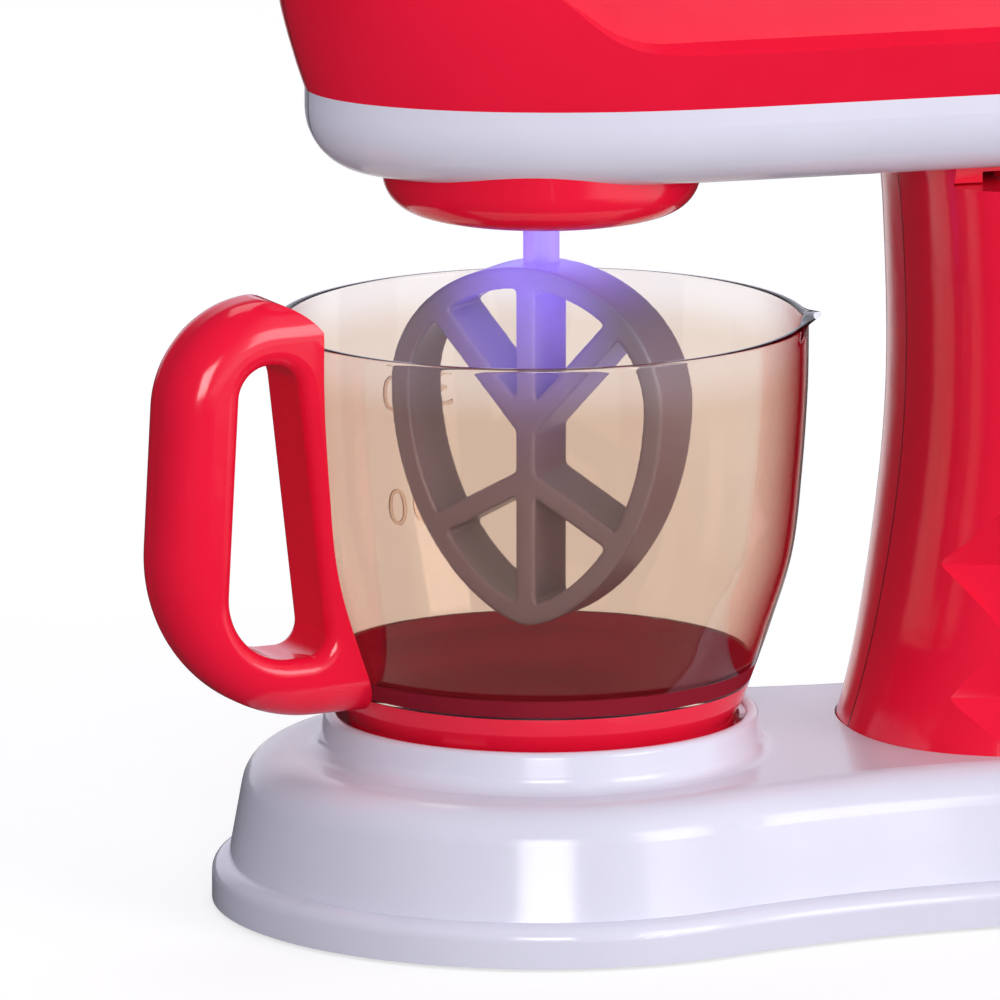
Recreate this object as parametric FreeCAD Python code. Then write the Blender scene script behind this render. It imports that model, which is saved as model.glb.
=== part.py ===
import FreeCAD, Part
import math
import os

os.makedirs("parts", exist_ok=True)

# Toy stand mixer, in millimetres. +Z is up, -X is the front (bowl end), +X the rear.
# The origin is on the table, midway between the front of the bowl handle and the rear of the base.
# Heights are above the table. Lengths along X named ..._OFFSET are behind the bowl's axis.

# ---- driving dimensions -------------------------------------------------------------------
BOWL_X = -38.6               # the bowl's axis, also the beater's
CLEARANCE = 0.3              # gap between pieces that only lie beside each other
RUNNING_FIT = 0.05           # radial gap of a turning shaft in its bore
WALL = 2.2                   # moulded shells

# base
FOOT_PAD_RADIUS = 6.0
FOOT_PAD_PROUD = 0.6         # how far the pads stand out below the base
FOOT_PAD_DEPTH = 1.2         # how deep the pads sit in the bottom plate
BASE_FRONT_RADIUS = 64.5
BASE_NECK_HALF_WIDTH = 51.5
BASE_WAIST_RADIUS = 188.0
BASE_REAR_OFFSET = 160.0
BASE_REAR_CORNER = 32.0
BASE_FLANGE_TOP = 9.0
BASE_FLANGE_ROUND = 3.2
BASE_WALL_INSET = 3.3        # the wall stands this far inside the flange
BASE_TOP_INSET = 7.2         # and leans in to this at the top
BASE_TOP = 30.5
BASE_TOP_ROUND = 8.5
BOTTOM_PLATE_THICKNESS = 2.0

# bowl seat on the base
SEAT_INNER_RADIUS = 40.0
SEAT_OUTER_RADIUS = 42.6
SEAT_TOP = 38.2
SEAT_FILLET = 3.0
SEAT_LUG_COUNT = 3
SEAT_LUG_REACH = 1.2
SEAT_LUG_BOTTOM = 36.2
SEAT_LUG_HALF_ANGLE = 7.0
SEAT_CREST = 1.1             # height of the ring's rounded crest

# bowl
BOWL_TURN = 190.0            # where the handle points at rest, from +X
FOOT_BOTTOM = BASE_TOP + 0.4
FOOT_BOTTOM_RADIUS = 37.5
FOOT_NECK = 37.6             # below this height the foot stays narrow, to pass the seat's lugs
FOOT_TOP = 44.5
FOOT_TOP_RADIUS = 41.0
FOOT_TAB_RADIUS = 39.5
FOOT_TAB_HEIGHT = 4.0
CUP_WALL = 1.6
CUP_RIM = 115.2
CUP_RIM_RADIUS = 52.1
CUP_RIM_RISE = 1.6           # the rim is this much higher at the lip, and lower at the handle
CUP_SIDE = [(45.0, 55.9), (49.1, 69.9), (51.0, 87.0), (52.0, 103.0)]   # radius, height
LIP_CENTRE_RADIUS = 43.5
LIP_RADIUS_LOW = 8.6
LIP_RADIUS_HIGH = 14.6
LIP_HEIGHT = 14.0
LIP_RISE = 1.4               # how far the lip's edge stands above the rim

# handle, in its own plane: distance from the bowl's axis and height
HANDLE_REACH = 86.0          # at its foot
HANDLE_LEAN = 4.6            # how much less it reaches at its top
HANDLE_TOP = 125.4
HANDLE_BOTTOM = 42.0
HANDLE_WIDTH = 18.8
HANDLE_OUTER_BAR = 14.6
HANDLE_END_BAR = 12.5
HANDLE_HOLE_TOP_RADIUS = 56.2
HANDLE_HOLE_LOW_RADIUS = 49.4
HANDLE_ROUND = 8.0
HANDLE_HOLE_ROUND = 3.0
HANDLE_SHOULDER_RADIUS = 17.0

# column
COLUMN_SINK = 1.0            # how deep the column sits in the base's top
COLUMN_SECTIONS = [          # height, front offset, rear offset, half width, squareness
    (29.5, 62.5, 141.0, 37.5, 2.3),
    (41.0, 66.0, 138.5, 36.6, 2.4),
    (54.0, 69.0, 136.2, 35.8, 2.6),
    (70.0, 71.8, 134.2, 35.0, 2.8),
    (90.0, 74.0, 132.6, 34.6, 2.9),
    (110.0, 74.5, 132.0, 34.5, 3.0),
    (128.0, 73.8, 132.2, 34.5, 3.0),
    (146.0, 71.6, 133.0, 34.5, 3.0),
]
COLUMN_DECK = 142.0
COLUMN_LIP_OFFSET = 76.5     # the front wall stands up to the head as far back as this
COLUMN_SIDE_WALL = 8.0       # thick enough for the relief cut into it
FACET_FIRST_OFFSET = 74.5    # the relief's first points in every second row
FACET_STEP = 21.5
FACET_COLUMNS = 2
FACET_HEIGHTS = [31.5, 41.2, 54.1, 67.0, 79.9]
FACET_PROUD = 0.6            # the relief's outer points lie this far outside the skin
FACET_VALLEY = 3.5           # its deep points this far inside
FACET_DIP = 0.4              # and the points between them this far

# head
HEAD_PART_LINE = 163.0
HEAD_UNDERSIDE = 146.4
HEAD_TOP = 222.0
HEAD_NOSE_OFFSET = -47.0
HEAD_REAR_OFFSET = 157.2
HEAD_HALF_WIDTH = 40.0
HEAD_NOSE_LENGTH = 75.0
HEAD_REAR_LENGTH = 48.0
HEAD_BULGE = 5.8             # the red shell is this much fuller at mid height than at the part line
HEAD_BULGE_HEIGHT = 190.0
HEAD_LOWER_ROUND = 13.0
HEAD_LIP_HEIGHT = 2.6
HEAD_LIP_THICKNESS = 1.2
PANEL_HALF_WIDTH = 40.2      # the sunk side panel, from the centre plane
PANEL_SLOPE = 3.4            # how far its edge slopes over its depth
PANEL_DEPTH = 8.0
PANEL_LOW = 176.3
PANEL_HIGH = 206.0
PANEL_FRONT_OFFSET = -14.0
PANEL_REAR_OFFSET = 136.0

# tilt hinge
HINGE_OFFSET = 119.0
HINGE_RADIUS = 3.6
HINGE_HEIGHT = HEAD_UNDERSIDE - HINGE_RADIUS - 0.4
HINGE_PIN_RADIUS = 1.5
HINGE_EAR_HALF = 9.0         # the column's middle ear, half its length
HINGE_LUG_END = 20.0         # the neck's two lugs end here
NECK_HALF_WIDTH = 22.0
NECK_FRONT_OFFSET = 73.0
NECK_PLATE = 2.0
TILT_MAX = 30.0

# hub under the head
HUB_RADIUS = 31.0
HUB_BOTTOM = 137.6
HUB_ROUND = 7.2
HUB_BORE = 4.2

# drive
GEAR_MODULE = 1.0
OUTPUT_TEETH = 40
IDLER_TEETH = 30
PINION_TEETH = 10
GEAR_LOW = 152.0
GEAR_THICKNESS = 5.0
GEAR_BACKLASH = 0.3
PRESSURE_ANGLE = 25.0
SHAFT_SQUARE = 5.0
SHAFT_TURN = 29.0
SHAFT_ROUND_RADIUS = 3.0
SHAFT_TOP = 167.0
SHAFT_SQUARE_TOP = 139.6
PLATE_LOW = 160.0
PLATE_THICKNESS = 2.0
MOTOR_RADIUS = 10.0
MOTOR_LENGTH = 25.0
MOTOR_SHAFT_RADIUS = 1.0
IDLER_AXLE_RADIUS = 1.5

# beater
BEATER_TURN = -45.0
BEATER_TOP = 126.5
BEATER_BOTTOM = 56.0
BEATER_WIDEST = 101.0
BEATER_HALF_WIDTH = 30.0
BEATER_DEPTH = 13.0
BEATER_BAR = 4.2
BEATER_UPPER_HUB = 95.0
BEATER_LOWER_HUB = 84.9
BEATER_UPPER_END = 117.5
BEATER_LOWER_END = 73.5
TONGUE_LENGTH = 9.0

# controls and power
DIAL_OFFSET = 112.0
DIAL_HEIGHT = 190.5
DIAL_RADIUS = 11.0
DIAL_THICKNESS = 6.5
DIAL_SPINDLE_RADIUS = 3.0
BUTTON_HEIGHT = 118.0
BUTTON_RADIUS = 6.5
BUTTON_FLANGE_RADIUS = 8.4
BUTTON_PROUD = 4.0
BUTTON_SKIN_OFFSET = 132.0   # the column's rear skin at the button's height
BUTTON_SPRING_RADIUS = 3.6
BUTTON_SPRING_WIRE = 0.45
BUTTON_SPRING_PITCH = 2.4
BUTTON_RIB_OFFSET = 108.0
COIL_ARCS = 8                # arcs in each turn of a spring
CELL_RADIUS = 7.1
CELL_LENGTH = 49.2
CELL_PITCH = 15.2
CELL_COUNT = 3
CELL_FIRST_OFFSET = 79.0
CELL_SPRING_RADIUS = 3.4
CELL_SPRING_WIRE = 0.35
CELL_SPRING_PITCH = 1.1
SCREW_SHANK_RADIUS = 1.4
SCREW_HEAD_RADIUS = 2.7
SCREW_HEAD_HEIGHT = 1.8
POST_RADIUS = 4.4

ROOM = 400.0                 # larger than the whole object, for cutting blocks


# ---- helpers ------------------------------------------------------------------------------
def at(offset, y, z):
    """A point given by its distance behind the bowl's axis."""
    return FreeCAD.Vector(BOWL_X + offset, y, z)


def save(name, shape):
    shape.exportStep("parts/" + name + ".step")


def fuse_all(shapes):
    return shapes[0].multiFuse(shapes[1:]).removeSplitter()


def upright(radius, offset, y, low, high):
    """A vertical cylinder."""
    return Part.makeCylinder(radius, high - low, at(offset, y, low))


def crosswise(radius, offset, z, low, high):
    """A cylinder along Y."""
    return Part.makeCylinder(radius, high - low, at(offset, low, z), FreeCAD.Vector(0, 1, 0))


def lengthwise(radius, low, high, y, z):
    """A cylinder along X, its seam line away from the centre plane."""
    cylinder = Part.makeCylinder(radius, high - low, at(low, y, z), FreeCAD.Vector(1, 0, 0))
    cylinder.rotate(at(low, y, z), FreeCAD.Vector(1, 0, 0), 35)
    return cylinder


def block(offset_low, offset_high, y_low, y_high, z_low, z_high):
    size = (offset_high - offset_low, y_high - y_low, z_high - z_low)
    return Part.makeBox(size[0], size[1], size[2], at(offset_low, y_low, z_low))


def left_side():
    return block(-ROOM, ROOM, -ROOM, 0, -ROOM, ROOM)


def turned(shape, degrees, offset=0.0):
    """A copy turned about a vertical axis."""
    copy = shape.copy()
    copy.rotate(at(offset, 0, 0), FreeCAD.Vector(0, 0, 1), degrees)
    return copy


def mirrored(shape):
    """A copy on the other side of the centre plane."""
    return shape.mirror(FreeCAD.Vector(0, 0, 0), FreeCAD.Vector(0, 1, 0))


def smooth_loop(points):
    """A closed smooth wire through the points."""
    curve = Part.BSplineCurve()
    curve.interpolate(Points=points, PeriodicFlag=True)
    return Part.Wire([curve.toShape()])


def rounded_polygon(corners, place):
    """A closed wire of straight sides and corner arcs.

    Each corner is (a, b, radius); place turns (a, b) into a point in space.
    """
    starts = []
    ends = []
    middles = []
    count = len(corners)
    for i in range(count):
        a, b, radius = corners[i]
        before = corners[i - 1]
        after = corners[(i + 1) % count]
        here = FreeCAD.Vector(a, b, 0)
        back = (FreeCAD.Vector(before[0], before[1], 0) - here).normalize()
        ahead = (FreeCAD.Vector(after[0], after[1], 0) - here).normalize()
        half = back.getAngle(ahead) / 2
        reach = radius / math.tan(half)
        bisector = (back + ahead).normalize()
        starts.append(here + back * reach)
        ends.append(here + ahead * reach)
        middles.append(here + bisector * (radius / math.sin(half) - radius))
    edges = []
    for i in range(count):
        start = place(starts[i].x, starts[i].y)
        middle = place(middles[i].x, middles[i].y)
        end = place(ends[i].x, ends[i].y)
        following = place(starts[(i + 1) % count].x, starts[(i + 1) % count].y)
        edges.append(Part.Arc(start, middle, end).toShape())
        if end.distanceToPoint(following) > 0.001:
            edges.append(Part.makeLine(end, following))
    return Part.Wire(edges)


def screw(head_at, direction, length):
    """A pan-head screw: its head sits at head_at and its shank runs along direction."""
    head = Part.makeCylinder(SCREW_HEAD_RADIUS, SCREW_HEAD_HEIGHT, head_at, direction * -1)
    shank = Part.makeCylinder(SCREW_SHANK_RADIUS, length, head_at, direction)
    outer = head_at - direction * (SCREW_HEAD_HEIGHT - 0.9)
    slot_across = Part.makeBox(3.2, 0.7, 1.2, FreeCAD.Vector(-1.6, -0.35, 0))
    slot_along = Part.makeBox(0.7, 3.2, 1.2, FreeCAD.Vector(-0.35, -1.6, 0))
    cross = slot_across.fuse(slot_along)
    turn = FreeCAD.Rotation(FreeCAD.Vector(0, 0, 1), direction * -1)
    cross.Placement = FreeCAD.Placement(outer, turn)
    return head.fuse(shank).cut(cross)


def coil(radius, wire, pitch, length):
    """A round-wire spring along +Z from the origin, its line made of short arcs."""
    turns = length / pitch
    count = max(1, round(turns * COIL_ARCS))

    def place(step):
        angle = 2 * math.pi * turns * step / count
        return FreeCAD.Vector(radius * math.cos(angle), radius * math.sin(angle), length * step / count)

    arcs = [Part.Arc(place(i), place(i + 0.5), place(i + 1)).toShape() for i in range(count)]
    start_direction = FreeCAD.Vector(0, 2 * math.pi * radius, pitch)
    profile = Part.Wire([Part.makeCircle(wire, place(0), start_direction)])
    return Part.Wire(arcs).makePipeShell([profile], True, True)


# ---- base ---------------------------------------------------------------------------------
def base_outline(inset, z):
    """The base seen from above: round front, waist, straight neck and rounded rear."""
    front = BASE_FRONT_RADIUS - inset
    neck = BASE_NECK_HALF_WIDTH - inset
    waist = BASE_WAIST_RADIUS + inset
    corner = BASE_REAR_CORNER - inset
    rear = BASE_REAR_OFFSET - inset
    waist_y = neck + waist
    waist_offset = math.sqrt((front + waist) ** 2 - waist_y ** 2)
    share = front / (front + waist)
    join_offset = waist_offset * share
    join_y = waist_y * share
    lean = math.atan2(waist_offset - join_offset, waist_y - join_y) / 2
    mid_offset = waist_offset - waist * math.sin(lean)
    mid_y = waist_y - waist * math.cos(lean)
    diagonal = corner * math.sqrt(0.5)
    straight_end = rear - corner
    corner_offset = straight_end + diagonal
    corner_y = neck - corner + diagonal
    places = [
        (join_offset, join_y), (-front, 0), (join_offset, -join_y),
        (mid_offset, -mid_y), (waist_offset, -neck), (straight_end, -neck),
        (corner_offset, -corner_y), (rear, corner - neck), (rear, neck - corner),
        (corner_offset, corner_y), (straight_end, neck), (waist_offset, neck), (mid_offset, mid_y),
    ]
    points = [at(offset, y, z) for offset, y in places]
    edges = [
        Part.Arc(points[0], points[1], points[2]).toShape(),
        Part.Arc(points[2], points[3], points[4]).toShape(),
        Part.makeLine(points[4], points[5]),
        Part.Arc(points[5], points[6], points[7]).toShape(),
        Part.makeLine(points[7], points[8]),
        Part.Arc(points[8], points[9], points[10]).toShape(),
        Part.makeLine(points[10], points[11]),
        Part.Arc(points[11], points[12], points[0]).toShape(),
    ]
    return Part.Wire(edges)


def base_slab(inset, low, high):
    return Part.Face(base_outline(inset, low)).extrude(FreeCAD.Vector(0, 0, high - low))


def base_body(inset, low, high, edge_round):
    """The leaning wall of the base as a solid, rounded round its top."""
    rise = (BASE_TOP_INSET - BASE_WALL_INSET) / (BASE_TOP - BASE_FLANGE_TOP)
    low_inset = BASE_WALL_INSET + inset + rise * (low - BASE_FLANGE_TOP)
    high_inset = BASE_WALL_INSET + inset + rise * (high - BASE_FLANGE_TOP)
    wires = [base_outline(low_inset, low), base_outline(high_inset, high)]
    solid = Part.makeLoft(wires, True, True)
    return solid.makeFillet(edge_round, top_edges_of(solid, high))


def top_edges_of(solid, z):
    return [e for e in solid.Edges if e.BoundBox.ZMin > z - 0.01]


def seat_ring():
    """The round wall that the bowl stands in, with lugs that hold the bowl's foot down."""
    low = BASE_TOP - WALL
    corner = SEAT_OUTER_RADIUS + SEAT_FILLET
    root = SEAT_OUTER_RADIUS + 0.5
    bend = SEAT_FILLET * (1 - math.sqrt(0.5))
    outer_arc = Part.Arc(
        at(corner + 0.5, 0, BASE_TOP),
        at(root + bend, 0, BASE_TOP + bend),
        at(root, 0, BASE_TOP + SEAT_FILLET),
    ).toShape()
    crown_out = at(SEAT_OUTER_RADIUS, 0, SEAT_TOP - SEAT_CREST)
    crown_in = at(SEAT_INNER_RADIUS, 0, SEAT_TOP - SEAT_CREST)
    crown_top = at((SEAT_OUTER_RADIUS + SEAT_INNER_RADIUS) / 2, 0, SEAT_TOP)
    edges = [
        Part.makeLine(at(SEAT_INNER_RADIUS, 0, low), at(corner + 0.5, 0, low)),
        Part.makeLine(at(corner + 0.5, 0, low), at(corner + 0.5, 0, BASE_TOP)),
        outer_arc,
        Part.makeLine(at(root, 0, BASE_TOP + SEAT_FILLET), crown_out),
        Part.Arc(crown_out, crown_top, crown_in).toShape(),
        Part.makeLine(crown_in, at(SEAT_INNER_RADIUS, 0, low)),
    ]
    ring = Part.Face(Part.Wire(edges)).revolve(at(0, 0, 0), FreeCAD.Vector(0, 0, 1), 360)
    lugs = [turned(seat_lug(), BOWL_TURN + 40 + i * 360 / SEAT_LUG_COUNT) for i in range(SEAT_LUG_COUNT)]
    return ring, lugs


def seat_lug():
    """One lug of the seat, on the +X side."""
    inner = SEAT_INNER_RADIUS - SEAT_LUG_REACH
    band = upright(SEAT_INNER_RADIUS + 0.6, 0, 0, SEAT_LUG_BOTTOM, SEAT_TOP - SEAT_CREST)
    band = band.cut(upright(inner, 0, 0, SEAT_LUG_BOTTOM, SEAT_TOP - SEAT_CREST))
    half = SEAT_INNER_RADIUS * math.sin(math.radians(SEAT_LUG_HALF_ANGLE))
    return band.common(block(0, ROOM, -half, half, 0, ROOM))


def base_screw_places():
    return [(-44.0, -18.0), (-44.0, 18.0), (38.0, -36.0), (38.0, 36.0), (146.0, -32.0), (146.0, 32.0)]


def foot_pad_places():
    return [(-40.0, -32.0), (-40.0, 32.0), (136.0, -38.0), (136.0, 38.0)]


def column_screw_places():
    return [(76.0, -20.0), (76.0, 20.0), (128.0, -20.0), (128.0, 20.0)]


def plate_low():
    return FOOT_PAD_PROUD


def plate_high():
    return FOOT_PAD_PROUD + BOTTOM_PLATE_THICKNESS


def bay_box(grow):
    """The block of room that the cells and their contacts take."""
    half = CELL_PITCH * CELL_COUNT / 2 + 0.6 + grow
    low = CELL_FIRST_OFFSET - 3.6 - grow
    high = CELL_FIRST_OFFSET + CELL_LENGTH + 1.6 + grow
    return low, high, half


def build_base():
    flange = base_slab(0.0, FOOT_PAD_PROUD, BASE_FLANGE_TOP)
    flange = flange.makeFillet(BASE_FLANGE_ROUND, top_edges_of(flange, BASE_FLANGE_TOP))
    outer = flange.fuse(base_body(0.0, BASE_FLANGE_TOP - 3.4, BASE_TOP, BASE_TOP_ROUND))
    hollow_low = base_slab(WALL, FOOT_PAD_PROUD, BASE_FLANGE_TOP - WALL)
    hollow_high = base_body(WALL, BASE_FLANGE_TOP - 4.4, BASE_TOP - WALL, BASE_TOP_ROUND - WALL)
    ring, lugs = seat_ring()
    shell = outer.cut(hollow_low.fuse(hollow_high))
    posts = []
    holes = []
    for offset, y in base_screw_places():
        posts.append(upright(POST_RADIUS, offset, y, plate_high(), BASE_TOP - WALL / 2))
        holes.append(upright(SCREW_SHANK_RADIUS, offset, y, 0, plate_high() + 12))
    for offset, y in column_screw_places():
        holes.append(upright(SCREW_SHANK_RADIUS + 0.3, offset, y, BASE_TOP - WALL - 1, BASE_TOP + 1))
    posts = [post.common(outer) for post in posts]
    column_floor = BASE_TOP - COLUMN_SINK
    pocket = column_solid(-CLEARANCE, column_floor, BASE_TOP + 1)
    thick_floor = column_solid(-2.0, BASE_TOP - WALL - COLUMN_SINK, BASE_TOP - WALL / 2)
    shell = fuse_all([shell, thick_floor, ring] + lugs + posts)
    for hole in holes + [pocket]:
        shell = shell.cut(hole)
    save("base_shell", shell)

    low, high, half = bay_box(1.2)
    plate = base_slab(WALL + 0.2, plate_low(), plate_high())
    tray_outer = block(low, high, -half, half, plate_low(), plate_high() + 14)
    inner_low, inner_high, inner_half = bay_box(0.0)
    tray_inner = block(inner_low, inner_high, -inner_half, inner_half, plate_high() - 0.8, plate_high() + 15)
    door_low, door_high, door_half = bay_box(3.0)
    door_room = block(door_low, door_high, -door_half, door_half, 0, plate_high() - 0.8)
    tab_room = block(door_low - 7.5, door_low, -6, 6, 0, plate_high() - 0.8)
    opening = block(inner_low, inner_high, -inner_half, inner_half, 0, plate_high())
    plate = plate.fuse(tray_outer).cut(fuse_all([tray_inner, door_room, tab_room, opening]))
    for offset, y in foot_pad_places():
        plate = plate.cut(upright(FOOT_PAD_RADIUS, offset, y, 0, plate_low() + FOOT_PAD_DEPTH))
    for offset, y in base_screw_places():
        plate = plate.cut(upright(SCREW_SHANK_RADIUS + 0.2, offset, y, 0, plate_high()))
        plate = plate.cut(upright(SCREW_HEAD_RADIUS + 0.3, offset, y, 0, plate_low() + 1.1))
    door_screw_offset = door_low - 3.8
    plate = plate.cut(upright(SCREW_SHANK_RADIUS, door_screw_offset, 0, 0, plate_high()))
    save("base_bottom_plate", plate)

    pads = [
        upright(FOOT_PAD_RADIUS - 0.05, offset, y, 0, plate_low() + FOOT_PAD_DEPTH)
        for offset, y in foot_pad_places()
    ]
    save("foot_pads", Part.makeCompound(pads))

    up = FreeCAD.Vector(0, 0, 1)
    screws = [screw(at(offset, y, plate_low() + 1.1), up, 10.0) for offset, y in base_screw_places()]
    flat = block(-ROOM, ROOM, -ROOM, ROOM, plate_low() + 0.1, ROOM)
    save("base_screws", Part.makeCompound([s.common(flat) for s in screws]))

    door_top = plate_high() - 0.8
    gap = 0.15
    door = block(door_low + gap, door_high - gap, gap - door_half, door_half - gap, plate_low(), door_top)
    tab = block(door_low - 7.5 + gap, door_low + 1, -6 + gap, 6 - gap, plate_low(), door_top)
    door = door.fuse(tab).removeSplitter()
    door = door.cut(upright(SCREW_SHANK_RADIUS + 0.2, door_screw_offset, 0, 0, plate_high()))
    for i in range(5):
        groove = door_high - 6 - i * 3
        door = door.cut(block(groove, groove + 1.2, -12, 12, 0, plate_low() + 0.5))
    door_screw = screw(at(door_screw_offset, 0, plate_low()), up, 8.0)
    door_screw.translate(FreeCAD.Vector(0, 0, 0.9))
    door_cut = upright(SCREW_HEAD_RADIUS + 0.3, door_screw_offset, 0, 0, plate_low() + 0.9)
    save("battery_door", door.cut(door_cut))
    save("battery_door_screw", door_screw.common(flat))


def build_cells():
    cells = []
    springs = []
    contacts = []
    cell_z = plate_high() + CELL_RADIUS + 0.3
    low = bay_box(0.0)[0]
    high = bay_box(0.0)[1]
    for i in range(CELL_COUNT):
        y = (i - (CELL_COUNT - 1) / 2) * CELL_PITCH
        can = lengthwise(CELL_RADIUS, CELL_FIRST_OFFSET, CELL_FIRST_OFFSET + CELL_LENGTH, y, cell_z)
        can = can.makeFillet(0.6, [e for e in can.Edges if e.Closed])
        end = CELL_FIRST_OFFSET + CELL_LENGTH
        cells.append(can.fuse(lengthwise(2.6, end - 0.5, end + 1.0, y, cell_z)))
        spring = coil(CELL_SPRING_RADIUS, CELL_SPRING_WIRE, CELL_SPRING_PITCH, 2 * CELL_SPRING_PITCH)
        turn = FreeCAD.Rotation(FreeCAD.Vector(0, 0, 1), FreeCAD.Vector(1, 0, 0))
        spring.Placement = FreeCAD.Placement(at(low + 0.9, y, cell_z), turn)
        springs.append(spring)
        contacts.append(block(low + 0.05, low + 0.45, y - 5, y + 5, cell_z - 5, cell_z + 5))
        contacts.append(block(high - 0.5, high - 0.1, y - 5, y + 5, cell_z - 5, cell_z + 5))
    save("battery_cells", Part.makeCompound(cells))
    save("battery_springs", Part.makeCompound(springs))
    save("battery_contacts", Part.makeCompound(contacts))


# ---- bowl ---------------------------------------------------------------------------------
def cup_profile(inset, low):
    """Points of the cup's side, moved inwards by inset, from the height low to above the rim."""
    points = [(FOOT_TOP_RADIUS - inset, low)]
    points += [(radius - inset, z) for radius, z in CUP_SIDE]
    points.append((CUP_RIM_RADIUS - inset, CUP_RIM + CUP_RIM_RISE))
    return points


def cup_solid(inset, low):
    """The cup filled in, up to well above its rim."""
    points = cup_profile(inset, low)
    side = Part.BSplineCurve()
    side.interpolate([at(radius, 0, z) for radius, z in points])
    high = CUP_RIM + LIP_HEIGHT
    last = points[-1]
    edges = [
        side.toShape(),
        Part.makeLine(at(last[0], 0, last[1]), at(last[0], 0, high)),
        Part.makeLine(at(last[0], 0, high), at(0, 0, high)),
        Part.makeLine(at(0, 0, high), at(0, 0, low)),
        Part.makeLine(at(0, 0, low), at(points[0][0], 0, low)),
    ]
    return Part.Face(Part.Wire(edges)).revolve(at(0, 0, 0), FreeCAD.Vector(0, 0, 1), 360)


def lip_cone(inset, extra):
    """The pouring lip's flare, on the side opposite the handle before turning."""
    low = CUP_RIM + CUP_RIM_RISE - LIP_HEIGHT
    cone = Part.makeCone(
        LIP_RADIUS_LOW - inset,
        LIP_RADIUS_HIGH - inset,
        LIP_HEIGHT + extra,
        at(LIP_CENTRE_RADIUS, 0, low),
    )
    return cone


def rim_cutter():
    """Everything above the rim: a plane that rises towards the lip, with a low saddle over the lip."""
    slope = math.degrees(math.atan2(CUP_RIM_RISE, CUP_RIM_RADIUS))
    above = block(-ROOM, ROOM, -ROOM, ROOM, CUP_RIM, ROOM)
    above.rotate(at(0, 0, CUP_RIM), FreeCAD.Vector(0, 1, 0), -slope)
    saddle_radius = 22.0
    saddle_z = CUP_RIM + CUP_RIM_RISE + LIP_RISE - saddle_radius
    saddle_start = at(CUP_RIM_RADIUS - 14, 0, saddle_z)
    saddle = Part.makeCylinder(saddle_radius, 40, saddle_start, FreeCAD.Vector(1, 0, 0))
    return above.cut(saddle)


def build_bowl():
    rest = BOWL_TURN - 180.0
    floor_top = FOOT_TOP + CUP_WALL
    outer = cup_solid(0.0, FOOT_TOP).fuse(lip_cone(0.0, 2.0))
    outer = outer.cut(block(-ROOM, ROOM, -ROOM, ROOM, 0, FOOT_TOP))
    inner = cup_solid(CUP_WALL, floor_top).fuse(lip_cone(CUP_WALL, 2.0))
    cup = outer.cut(inner).cut(rim_cutter())
    save("bowl_cup", turned(cup, rest))

    foot = foot_solid(0.0, FOOT_TOP).cut(foot_solid(WALL, FOOT_TOP - WALL))
    half = FOOT_TAB_RADIUS * math.sin(math.radians(SEAT_LUG_HALF_ANGLE))
    tab_ring = upright(FOOT_TAB_RADIUS, 0, 0, FOOT_BOTTOM, FOOT_BOTTOM + FOOT_TAB_HEIGHT)
    tab_ring = tab_ring.cut(upright(FOOT_BOTTOM_RADIUS - 1.6, 0, 0, 0, ROOM))
    tab = tab_ring.common(block(0, ROOM, -half, half, 0, ROOM))
    tabs = [turned(tab, 40 + 180 + i * 360 / SEAT_LUG_COUNT) for i in range(SEAT_LUG_COUNT)]
    save("bowl_foot", turned(fuse_all([foot] + tabs), rest))
    save("bowl_handle", turned(handle_solid(), rest))


def foot_solid(inset, high):
    """The bowl's foot filled in, moved inwards by inset."""
    neck = FOOT_BOTTOM_RADIUS + 0.4
    outline = [
        (FOOT_BOTTOM_RADIUS - 1.2, FOOT_BOTTOM),
        (FOOT_BOTTOM_RADIUS, FOOT_BOTTOM + 1.2),
        (neck, FOOT_NECK),
        (neck + (FOOT_TOP_RADIUS - neck) * 0.62, (FOOT_NECK + FOOT_TOP) / 2),
        (FOOT_TOP_RADIUS, FOOT_TOP),
    ]
    corners = [(radius - inset, z) for radius, z in outline]
    corners += [(0, FOOT_TOP), (0, FOOT_BOTTOM), corners[0]]
    wire = Part.makePolygon([at(radius, 0, z) for radius, z in corners])
    solid = Part.Face(wire).revolve(at(0, 0, 0), FreeCAD.Vector(0, 0, 1), 360)
    return solid.common(block(-ROOM, ROOM, -ROOM, ROOM, 0, high))


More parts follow.
